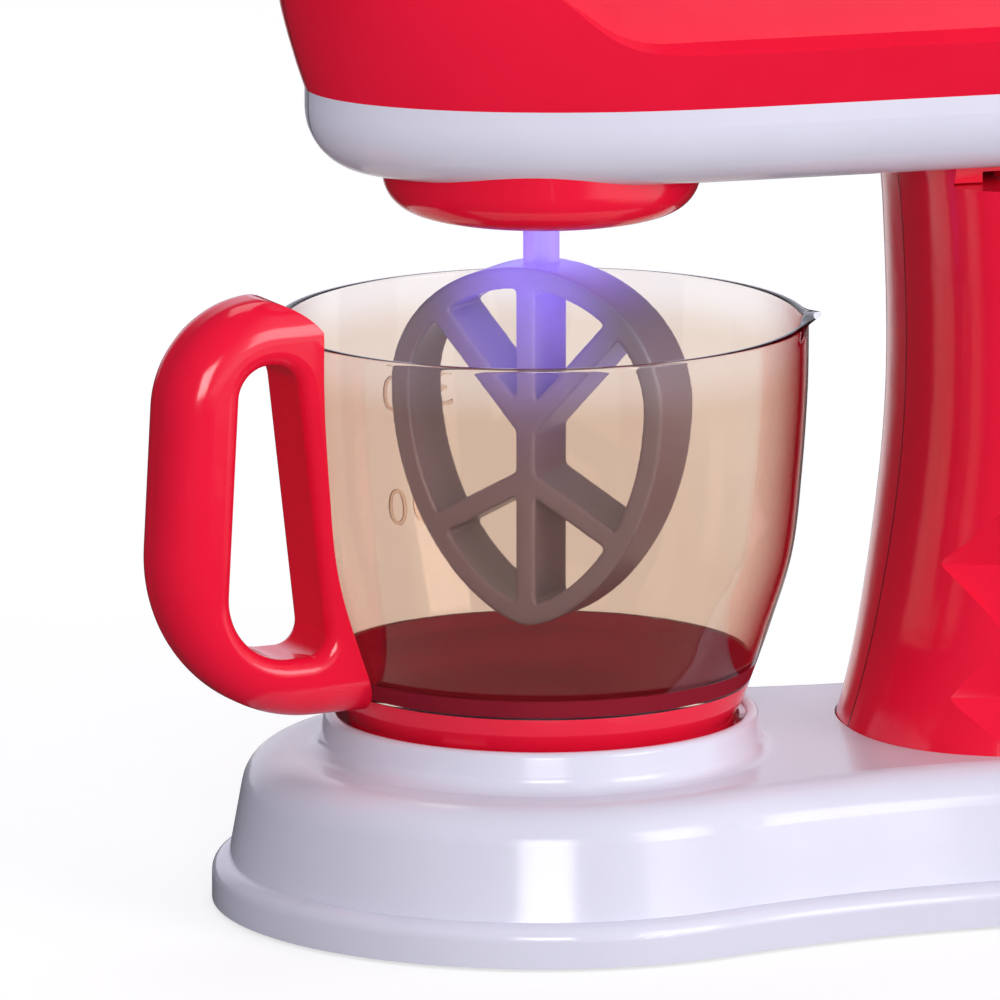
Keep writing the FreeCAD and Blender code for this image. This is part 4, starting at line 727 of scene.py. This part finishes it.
def turned(name: str, centre: tuple[float, float], profile: Sequence[tuple[float, float]],
           segments: int) -> bpy.types.Object:
    """A piece of revolution about a vertical axis, drawn up ring by ring from a circle.

    Args:
        name: The piece's name.
        centre: X and Y of the axis, in metres.
        profile: (radius, height) of each ring in millimetres, in order.
        segments: How many points go round.

    Returns:
        The piece, left in object mode.
    """
    deselect_all()
    radius, height = profile[0]
    bpy.ops.mesh.primitive_circle_add(vertices=segments, radius=mm(radius), location=(*centre, mm(height)))
    piece = bpy.context.object
    piece.name = name
    edit_all()
    for next_radius, next_height in profile[1:]:
        lift = {"value": (0.0, 0.0, mm(next_height - height))}
        bpy.ops.mesh.extrude_region_move(TRANSFORM_OT_translate=lift)
        scale = next_radius / radius
        bpy.ops.transform.resize(value=(scale, scale, 1.0), center_override=(*centre, mm(next_height)))
        radius, height = next_radius, next_height
    bpy.ops.mesh.select_all(action="SELECT")
    bpy.ops.mesh.remove_doubles(threshold=1e-6)
    bpy.ops.mesh.normals_make_consistent(inside=False)
    leave_edit()
    settle(piece)
    return piece


def shape(piece: bpy.types.Object, rule: Callable[[Vector], Vector]) -> None:
    """Moves every point of a piece by a rule.

    Args:
        piece: The piece.
        rule: Gives each point's new place.
    """
    for vertex in piece.data.vertices:
        vertex.co = rule(vertex.co.copy())
    piece.data.update()


def hand_over(piece: bpy.types.Object, body: Body, material: bpy.types.Material,
              replaces: Sequence[str] = (), angle: float = 40.0) -> None:
    """Dresses a finished piece and lets it ride.

    Args:
        piece: The piece.
        body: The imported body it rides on.
        material: Its finish.
        replaces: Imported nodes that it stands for.
        angle: Edges sharper than this many degrees stay sharp.
    """
    settle(piece)
    bpy.ops.object.shade_smooth_by_angle(angle=math.radians(angle))
    piece.data.materials.clear()
    piece.data.materials.append(material)
    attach(piece, body.value)
    if replaces:
        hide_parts(*replaces)
    log.info("piece %s: %d faces", piece.name, len(piece.data.polygons))


def smooth_step(value: float) -> float:
    """0 below 0, 1 above 1 and a smooth rise between."""
    value = min(1.0, max(0.0, value))
    return value * value * (3.0 - 2.0 * value)


def between(before: float, start: float, end: float, after: float, t: float) -> float:
    """One coordinate of a smooth line, between two of its points.

    Args:
        before: The coordinate at the point before the start.
        start: The coordinate at the start.
        end: The coordinate at the end.
        after: The coordinate at the point after the end.
        t: How far along, from 0 at the start to 1 at the end.

    Returns:
        The coordinate there.
    """
    rise = (end - before) * t
    curve = (2 * before - 5 * start + 4 * end - after) * t * t
    turn = (3 * start - before - 3 * end + after) * t ** 3
    return 0.5 * (2 * start + rise + curve + turn)


def through_points(points: Sequence[tuple[float, float]], count: int) -> list[tuple[float, float]]:
    """A smooth line through points, as evenly numbered points.

    Args:
        points: The points to pass through.
        count: Steps between each pair.

    Returns:
        The points of the line.
    """
    ends = [points[0], *points, points[-1]]
    line = []
    for stretch in zip(ends, ends[1:], ends[2:], ends[3:]):
        for step in range(count):
            line.append(tuple(between(*values, step / count) for values in zip(*stretch)))
    line.append(tuple(points[-1]))
    return line


# ---- bowl ----------------------------------------------------------------------------------
@dataclass
class Bowl:
    """The smoky cup with its pouring lip and raised marks. Sizes are millimetres, turns are degrees.

    The side is (radius, height) of the outer wall. The rim's edge is (inset, rise) of its rounding, and
    the bend is (outwards, upwards) from where the inner wall would meet the floor. From red_from above the
    bottom to red_to above the floor, the cup is an opaque dark red: a painted view of the red foot through
    the clear plastic, darkened by painted shade.
    """

    wall: float = 1.6
    bottom: float = 44.62
    bottom_rings: tuple[float, ...] = (30.0, 40.2)
    floor: float = 46.1
    pole: float = 0.15
    bend: tuple[tuple[float, float], ...] = (
        (0.75, 2.6), (-0.3, 0.9), (-1.4, 0.15), (-2.8, 0.0), (-14.0, 0.0))
    wall_from: float = 3.0
    red_from: float = 0.5
    red_to: float = 2.6
    side: tuple[tuple[float, float], ...] = (
        (41.0, 44.5), (45.0, 55.9), (49.1, 69.9), (51.0, 87.0), (52.0, 103.0), (52.1, 115.2))
    side_steps: int = 14
    measure_steps: int = 12
    segments: int = 192
    rim: float = 115.2
    rim_edge: tuple[tuple[float, float], ...] = ((0.06, 0.35), (0.35, 0.62))
    rim_rise: float = 0.4
    rise_from: float = 78.0
    rise_over: float = 36.0
    lip_turn: float = -20.0
    lip_from: float = 103.0
    lip_reach: float = 2.8
    lip_rise: float = 3.6
    lip_rise_share: float = 0.85
    lip_droop: float = 2.6
    lip_half_width: float = 7.2
    lip_side_power: float = 2.3
    flare_from: float = 0.7
    flare_power: float = 1.6
    marks: tuple[tuple[str, float], ...] = (("300", 92.0), ("200", 69.5))
    mark_turn: float = 103.0
    mark_size: float = 10.4
    mark_spacing: float = 1.15
    mark_depth: float = 0.28
    mark_thinning: float = 0.12
    mark_stand: float = 0.1
    mark_steps: int = 8

    def build(self, materials: Materials) -> None:
        """Builds and dresses the bowl's pieces.

        Args:
            materials: The built materials.
        """
        self._cup(materials[Finish.SMOKY], materials[Finish.BOWL_FLOOR])
        self._marks(materials[Finish.SMOKY])

    def radius_at(self, height: float) -> float:
        """The cup's outside radius.

        Args:
            height: The height, in millimetres.

        Returns:
            The radius there, in millimetres.
        """
        line = through_points(self.side, self.measure_steps)
        for (r0, z0), (r1, z1) in zip(line, line[1:]):
            if z0 <= height <= z1:
                return r0 + (r1 - r0) * (height - z0) / (z1 - z0)
        return self.side[-1][0]

    def _profile(self) -> list[tuple[float, float]]:
        """The cup's section: bottom, outer wall, rounded rim, inner wall and floor, as one closed line.

        Returns:
            (radius, height) of each point.
        """
        outer = through_points(self.side, self.side_steps)
        inner = [(radius - self.wall, z) for radius, z in reversed(outer) if z > self.floor + self.wall_from]
        outside = self.side[-1][0]
        rim = [(outside - inset, self.rim + rise) for inset, rise in self.rim_edge]
        rim += [(outside - self.wall + inset, self.rim + rise) for inset, rise in reversed(self.rim_edge)]
        foot = self.radius_at(self.floor) - self.wall
        bend = [(foot + out, self.floor + up) for out, up in self.bend]
        under = [(radius, self.bottom) for radius in (self.pole, *self.bottom_rings)]
        return [*under, *outer, *rim, *inner, *bend, (self.pole, self.floor), under[0]]

    def _cup(self, clear: bpy.types.Material, below: bpy.types.Material) -> None:
        """The cup in one skin.

        Args:
            clear: The clear wall's finish.
            below: The floor's finish: an opaque dark red, painted in place of the red foot seen through the
                floor, with painted shade.
        """
        cup = turned("cup_smoky", (BOWL_X, 0.0), self._profile(), self.segments)
        shape(cup, self._lip)
        hand_over(cup, Body.BOWL, clear, ["bowl_cup"], 50.0)
        cup.data.materials.append(below)
        # The low band is opaque dark red: a painted view of the shaded red foot through the clear floor.
        for face in cup.data.polygons:
            if mm(self.bottom + self.red_from) < face.center.z < mm(self.floor + self.red_to):
                face.material_index = 1

    def _lip(self, place: Vector) -> Vector:
        """Raises a short stretch of the rim and flares it outwards into the lip.

        Args:
            place: A point of the round cup, in metres.

        Returns:
            Its new place.
        """
        x, y = place.x - BOWL_X, place.y
        height, radius = in_mm(place.z), in_mm(math.hypot(x, y))
        if height < self.rise_from:
            return place
        turn = math.atan2(y, x)
        angle = turn - math.radians(self.lip_turn)
        share = (height - self.lip_from) / (self.rim + self.rim_edge[-1][1] - self.lip_from)
        height += self.rim_rise * math.cos(angle) * smooth_step((height - self.rise_from) / self.rise_over)
        if share > 0.0 and math.cos(angle) > 0.0:
            aside = abs(radius * math.sin(angle)) / self.lip_half_width
            near = math.exp(-aside ** self.lip_side_power)
            flare = max(0.0, (share - self.flare_from) / (1.0 - self.flare_from))
            rise = self.lip_rise * smooth_step(share / self.lip_rise_share)
            radius += near * self.lip_reach * flare ** self.flare_power
            height += near * (rise - self.lip_droop * flare * flare)
        return Vector((BOWL_X + mm(radius) * math.cos(turn), mm(radius) * math.sin(turn), mm(height)))

    def _marks(self, material: bpy.types.Material) -> None:
        """Raised measuring numbers on the cup's side.

        Args:
            material: Their finish.
        """
        pieces = []
        for label, height in self.marks:
            piece = self._number(label)
            shape(piece, lambda place: self._onto_wall(place, height))
            pieces.append(piece)
        hand_over(joined(pieces, "cup_marks"), Body.BOWL, material, (), 30.0)

    def _number(self, label: str) -> bpy.types.Object:
        """A flat number in the XY plane, with its middle at the origin.

        Args:
            label: Its digits.

        Returns:
            The number, as a mesh.
        """
        deselect_all()
        bpy.ops.object.text_add(location=(0.0, 0.0, 0.0))
        text = bpy.context.object.data
        text.body = label
        text.align_x = "CENTER"
        text.align_y = "CENTER"
        text.size = mm(self.mark_size)
        text.space_character = self.mark_spacing
        text.extrude = mm(self.mark_depth)
        text.offset = -mm(self.mark_thinning)
        text.resolution_u = self.mark_steps
        bpy.ops.object.convert(target="MESH")
        return bpy.context.object

    def _onto_wall(self, place: Vector, height: float) -> Vector:
        """Lays a point of the XY plane onto the cup's outside.

        Args:
            place: The point, in metres.
            height: The height that the plane's X axis comes to, in millimetres.

        Returns:
            Its new place.
        """
        z = height + in_mm(place.y)
        radius = mm(self.radius_at(z)) + place.z + mm(self.mark_stand)
        angle = math.radians(self.mark_turn) + place.x / radius
        return Vector((BOWL_X + radius * math.cos(angle), radius * math.sin(angle), mm(z)))


# ---- beater --------------------------------------------------------------------------------
@dataclass
class Beater:
    """The egg-shaped beater, its edges softly rounded. Sizes are millimetres, the turn is degrees.

    Each spoke is (x, z) of its first end and (x, z) of its second, in the beater's own plane. The parts
    are melted into one skin of voxels and smoothed, and regrow gives back what the smoothing takes.
    """

    turn: float = -45.0
    top: float = 126.5
    bottom: float = 56.0
    widest: float = 101.0
    middle: float = 90.0
    half_width: float = 30.0
    below_power: float = 1.24
    depth: float = 13.0
    bar: float = 4.2
    outline_points: int = 160
    spoke_cuts: int = 3
    voxel: float = 0.42
    smoothings: int = 9
    regrow: Point = (1.004, 1.02, 1.004)
    spokes: tuple[tuple[float, float, float, float], ...] = (
        (0.0, 58.0, 0.0, 124.5),
        (0.0, 95.0, 20.0, 116.9), (0.0, 95.0, -20.0, 116.9),
        (0.0, 84.9, 20.6, 73.6), (0.0, 84.9, -20.6, 73.6))

    def build(self, materials: Materials) -> None:
        """Builds and dresses the beater.

        Args:
            materials: The built materials.
        """
        parts = [self._ring()] + [self._spoke(*ends) for ends in self.spokes]
        beater = joined(parts, "beater_egg")
        settle(beater)
        apply_modifier(beater, "REMESH", mode="VOXEL", voxel_size=mm(self.voxel), adaptivity=0.0)
        apply_modifier(beater, "SMOOTH", factor=0.5, iterations=self.smoothings)
        take_up(beater)
        edit_all()
        bpy.ops.transform.resize(value=self.regrow, center_override=(0.0, 0.0, mm(self.middle)))
        leave_edit()
        turn = Matrix.Rotation(math.radians(self.turn), 4, "Z")
        shape(beater, lambda place: turn @ place + Vector((BOWL_X, 0.0, 0.0)))
        hand_over(beater, Body.DRIVE, materials[Finish.GREY], ["beater"], 80.0)

    def _angle(self, number: int) -> float:
        """The angle of a point of the outline, by its number."""
        return 2.0 * math.pi * number / self.outline_points

    def _outline(self, angle: float, inset: float = 0.0) -> tuple[float, float]:
        """A point of the egg's outline.

        Args:
            angle: The angle at which it is seen from the egg's widest place.
            inset: How far it is moved inwards, in millimetres.

        Returns:
            Its distance across and its height, in millimetres.
        """
        above = math.sin(angle) >= 0.0
        reach = (self.top - self.widest if above else self.widest - self.bottom) - inset
        power = 1.0 if above else self.below_power
        across = math.copysign(abs(math.cos(angle)) ** power, math.cos(angle))
        return (self.half_width - inset) * across, self.widest + reach * math.sin(angle)

    def _on_front(self, angle: float, inset: float = 0.0) -> Vector:
        """The same point on the ring's front, in metres."""
        across, height = self._outline(angle, inset)
        return Vector((mm(across), mm(-self.depth / 2.0), mm(height)))

    def _ring(self) -> bpy.types.Object:
        """The egg-shaped ring: a circle shaped to the egg, drawn inwards and then to its depth.

        Returns:
            The ring.
        """
        deselect_all()
        bpy.ops.mesh.primitive_circle_add(
            vertices=self.outline_points, radius=mm(self.half_width), location=(0.0, 0.0, 0.0))
        ring = bpy.context.object
        ring.name = "beater_ring"
        for number, vertex in enumerate(ring.data.vertices):
            vertex.co = self._on_front(self._angle(number))
        edit_all()
        bpy.ops.mesh.extrude_region()
        leave_edit()
        for vertex in ring.data.vertices:
            if vertex.select:
                vertex.co = self._on_front(self._nearest_angle(vertex.co), self.bar)
        edit_all()
        bpy.ops.mesh.extrude_region_move(TRANSFORM_OT_translate={"value": (0.0, mm(self.depth), 0.0)})
        bpy.ops.mesh.select_all(action="SELECT")
        bpy.ops.mesh.normals_make_consistent(inside=False)
        leave_edit()
        return ring

    def _nearest_angle(self, place: Vector) -> float:
        """The angle of the outline's point that lies nearest to a place.

        Args:
            place: The place, in metres.

        Returns:
            The angle.
        """
        angles = [self._angle(number) for number in range(self.outline_points)]
        return min(angles, key=lambda angle: (self._on_front(angle) - place).length_squared)

    def _spoke(self, x0: float, z0: float, x1: float, z1: float) -> bpy.types.Object:
        """A straight bar in the beater's plane.

        Args:
            x0: X of its first end.
            z0: Z of its first end.
            x1: X of its second end.
            z1: Z of its second end.

        Returns:
            The bar.
        """
        run = Vector((x1 - x0, 0.0, z1 - z0))
        deselect_all()
        bpy.ops.mesh.primitive_cube_add(size=1.0, location=(mm(x0 + x1) / 2.0, 0.0, mm(z0 + z1) / 2.0))
        spoke = bpy.context.object
        spoke.scale = (mm(run.length), mm(self.depth), mm(self.bar))
        spoke.rotation_euler = (0.0, -math.atan2(run.z, run.x), 0.0)
        settle(spoke)
        edit_all()
        bpy.ops.mesh.subdivide(number_cuts=self.spoke_cuts)
        leave_edit()
        return spoke


# ---- studio --------------------------------------------------------------------------------
def seen_rays(tree: Tree, path: bpy.types.Node) -> Socket:
    """1 for rays of the camera and through see-through pieces, else 0."""
    return maths(tree, "MAXIMUM", path.outputs["Is Camera Ray"], path.outputs["Is Transmission Ray"])


@dataclass
class Surroundings:
    """The room: white where it is seen directly or through clear pieces, and dimmer as light.

    Glossy pieces mirror a bright wall on the right and one ahead. A span of fading is (none, full), in
    the cosine of the angle to that side.
    """

    ahead: tuple[float, float] = (0.28, 0.96)
    dim: float = 0.47
    bright: float = 0.82
    bright_fade: Span = (-0.35, 0.75)
    mirrored_least: float = 0.03
    mirrored_right: float = 1.1
    right_fade: Span = (0.2, 0.8)
    ahead_fade: Span = (0.70, 0.93)
    air: Colour = (0.88, 0.87, 1.0)

    def build(self) -> None:
        """Builds the world."""
        world = bpy.data.worlds.new("surroundings")
        bpy.context.scene.world = world
        world.use_nodes = True
        tree = world.node_tree
        path = tree.nodes.new("ShaderNodeLightPath")
        x, y, _ = split_axes(tree, texture_place(tree, "Generated"))
        view_x, view_y = self.ahead
        ahead = maths(tree, "MULTIPLY_ADD", y, view_y, maths(tree, "MULTIPLY", x, view_x))
        right = maths(tree, "MULTIPLY_ADD", x, view_y, maths(tree, "MULTIPLY", y, -view_x))
        lit = maths(tree, "MULTIPLY_ADD", ramp(tree, right, *self.bright_fade), self.bright - self.dim,
                    self.dim)
        wall = maths(tree, "MULTIPLY_ADD", ramp(tree, right, *self.right_fade), self.mirrored_right,
                     self.mirrored_least)
        mirrored = maths(tree, "MAXIMUM", wall, ramp(tree, ahead, *self.ahead_fade))
        unseen = tree.nodes.new("ShaderNodeMix")
        tree.links.new(path.outputs["Is Glossy Ray"], unseen.inputs["Factor"])
        tree.links.new(lit, unseen.inputs["A"])
        tree.links.new(mirrored, unseen.inputs["B"])
        seen = seen_rays(tree, path)
        back = tree.nodes["Background"]
        tree.links.new(maths(tree, "MAXIMUM", unseen.outputs["Result"], seen), back.inputs["Strength"])
        tree.links.new(colour_mix(tree, seen, self.air, PURE_WHITE), back.inputs["Color"])
        log.info("surroundings")


@dataclass(frozen=True)
class FloorCard:
    """A bright patch that glossy pieces mirror in the floor. Each span is a fade (none, full) in metres."""

    strength: float
    along_x: tuple[Span, ...]
    along_y: tuple[Span, ...]

    def add(self, tree: Tree, place: Socket, bright: Union[Socket, float]) -> Socket:
        """Adds the patch to a brightness.

        Args:
            tree: The floor's tree.
            place: The socket that gives the place.
            bright: The brightness without it.

        Returns:
            The socket of the brightness with it.
        """
        x, y, _ = split_axes(tree, place)
        fades = [ramp(tree, x, *span) for span in self.along_x]
        fades += [ramp(tree, y, *span) for span in self.along_y]
        share = fades[0]
        for fade in fades[1:]:
            share = maths(tree, "MULTIPLY", share, fade)
        return maths(tree, "MULTIPLY_ADD", share, self.strength, bright)


@dataclass
class Floor:
    """A wide floor that renders white and keeps a faint shadow."""

    size: float = 14.0
    tone: float = 0.42
    grain: float = 0.01
    glow: float = 0.68
    mirrored_least: float = 0.03
    cards: tuple[FloorCard, ...] = (
        FloorCard(0.95, along_x=((0.14, 0.07), (-0.10, 0.0)), along_y=((0.12, 0.25),)),
        FloorCard(1.25, along_x=((0.12, 0.34),), along_y=((0.15, -0.05),)),
    )

    def build(self) -> None:
        """Adds the floor and its finish."""
        deselect_all()
        bpy.ops.mesh.primitive_plane_add(size=self.size, location=(0.0, 0.0, 0.0))
        floor = bpy.context.object
        floor.name = "floor"
        floor.data.materials.append(self._finish())
        log.info("floor")

    def _finish(self) -> bpy.types.Material:
        """Builds the floor's material: matte with a white glow when seen, and its cards when mirrored.

        Returns:
            The material.
        """
        material, tree, shader = blank_material("floor_white")
        tree.nodes.remove(shader)
        place = texture_place(tree)
        path = tree.nodes.new("ShaderNodeLightPath")
        grain = noise(tree, place, scale=3.0, detail=2.0, rough=0.5)
        shade = maths(tree, "MULTIPLY_ADD", grain, self.grain, self.tone)
        tone = tree.nodes.new("ShaderNodeCombineColor")
        for label in ("Red", "Green", "Blue"):
            tree.links.new(shade, tone.inputs[label])
        matte = tree.nodes.new("ShaderNodeBsdfDiffuse")
        tree.links.new(tone.outputs["Color"], matte.inputs["Color"])
        glow = tree.nodes.new("ShaderNodeEmission")
        tree.links.new(maths(tree, "MULTIPLY", seen_rays(tree, path), self.glow), glow.inputs["Strength"])
        seen = tree.nodes.new("ShaderNodeAddShader")
        tree.links.new(matte.outputs["BSDF"], seen.inputs[0])
        tree.links.new(glow.outputs["Emission"], seen.inputs[1])
        bright = self.mirrored_least
        for card in self.cards:
            bright = card.add(tree, place, bright)
        mirrored = tree.nodes.new("ShaderNodeEmission")
        tree.links.new(bright, mirrored.inputs["Strength"])
        # A ray through rough clear plastic counts as glossy too, and must see the plain floor.
        glossy = maths(tree, "SUBTRACT", path.outputs["Is Glossy Ray"], path.outputs["Is Transmission Ray"])
        shader_mix(tree, glossy, seen.outputs["Shader"], mirrored.outputs["Emission"])
        return material


@dataclass
class Softbox:
    """One large soft lamp that looks at a point."""

    name: str
    place: Point
    size: tuple[float, float]
    power: float
    colour: Colour = PURE_WHITE
    aim: Point = (0.0, 0.0, 0.1)

    def build(self) -> None:
        """Adds the lamp."""
        data = bpy.data.lights.new(self.name, "AREA")
        data.shape = "RECTANGLE"
        data.size, data.size_y = self.size
        data.energy = self.power
        data.color = self.colour
        lamp = bpy.data.objects.new(self.name, data)
        lamp.location = self.place
        lamp.rotation_euler = (Vector(self.aim) - Vector(self.place)).to_track_quat("-Z", "Y").to_euler()
        bpy.context.scene.collection.objects.link(lamp)
        log.info("lamp %s", self.name)


@dataclass
class Camera:
    """The camera, far off with a long lens. The lens and the sensor are millimetres."""

    place: Point = (-0.98647, -3.27646, 0.78896)
    aim: Point = (-0.04196, 0.01745, 0.07621)
    lens: float = 642.6
    sensor: float = 36.0
    nearest: float = 0.1
    farthest: float = 60.0

    def build(self) -> None:
        """Adds the camera and makes it the scene's."""
        data = bpy.data.cameras.new("camera")
        data.lens = self.lens
        data.sensor_width = self.sensor
        data.clip_start = self.nearest
        data.clip_end = self.farthest
        camera = bpy.data.objects.new("camera", data)
        camera.location = self.place
        camera.rotation_euler = (Vector(self.aim) - Vector(self.place)).to_track_quat("-Z", "Y").to_euler()
        bpy.context.scene.collection.objects.link(camera)
        bpy.context.scene.camera = camera
        bpy.context.scene.view_settings.view_transform = "Standard"
        log.info("camera")


@dataclass
class Studio:
    """White surroundings, pale floor, soft lamps and the camera."""

    surroundings: Surroundings = field(default_factory=Surroundings)
    floor: Floor = field(default_factory=Floor)
    lamps: list[Softbox] = field(default_factory=lambda: [
        Softbox("key_right_front", (1.5, -2.1, 0.9), (1.2, 1.2), 21.0),
        Softbox("fill_front", (-0.7, -2.7, 0.7), (1.0, 1.0), 28.0),
        Softbox("top_rear", (0.2, 0.7, 1.6), (1.0, 0.8), 5.0),
    ])
    camera: Camera = field(default_factory=Camera)

    def build(self) -> None:
        """Builds the whole studio."""
        for part in (self.surroundings, self.floor, *self.lamps, self.camera):
            part.build()


def main() -> None:
    """Builds the scene."""
    logging.basicConfig(level=logging.INFO, format="%(name)s: %(message)s")
    groups = NodeGroups()
    materials = {finish: finish.value.build(groups) for finish in Finish}
    dress_nodes(materials)
    Bowl().build(materials)
    Beater().build(materials)
    Studio().build()


if __name__ == "__main__":
    main()
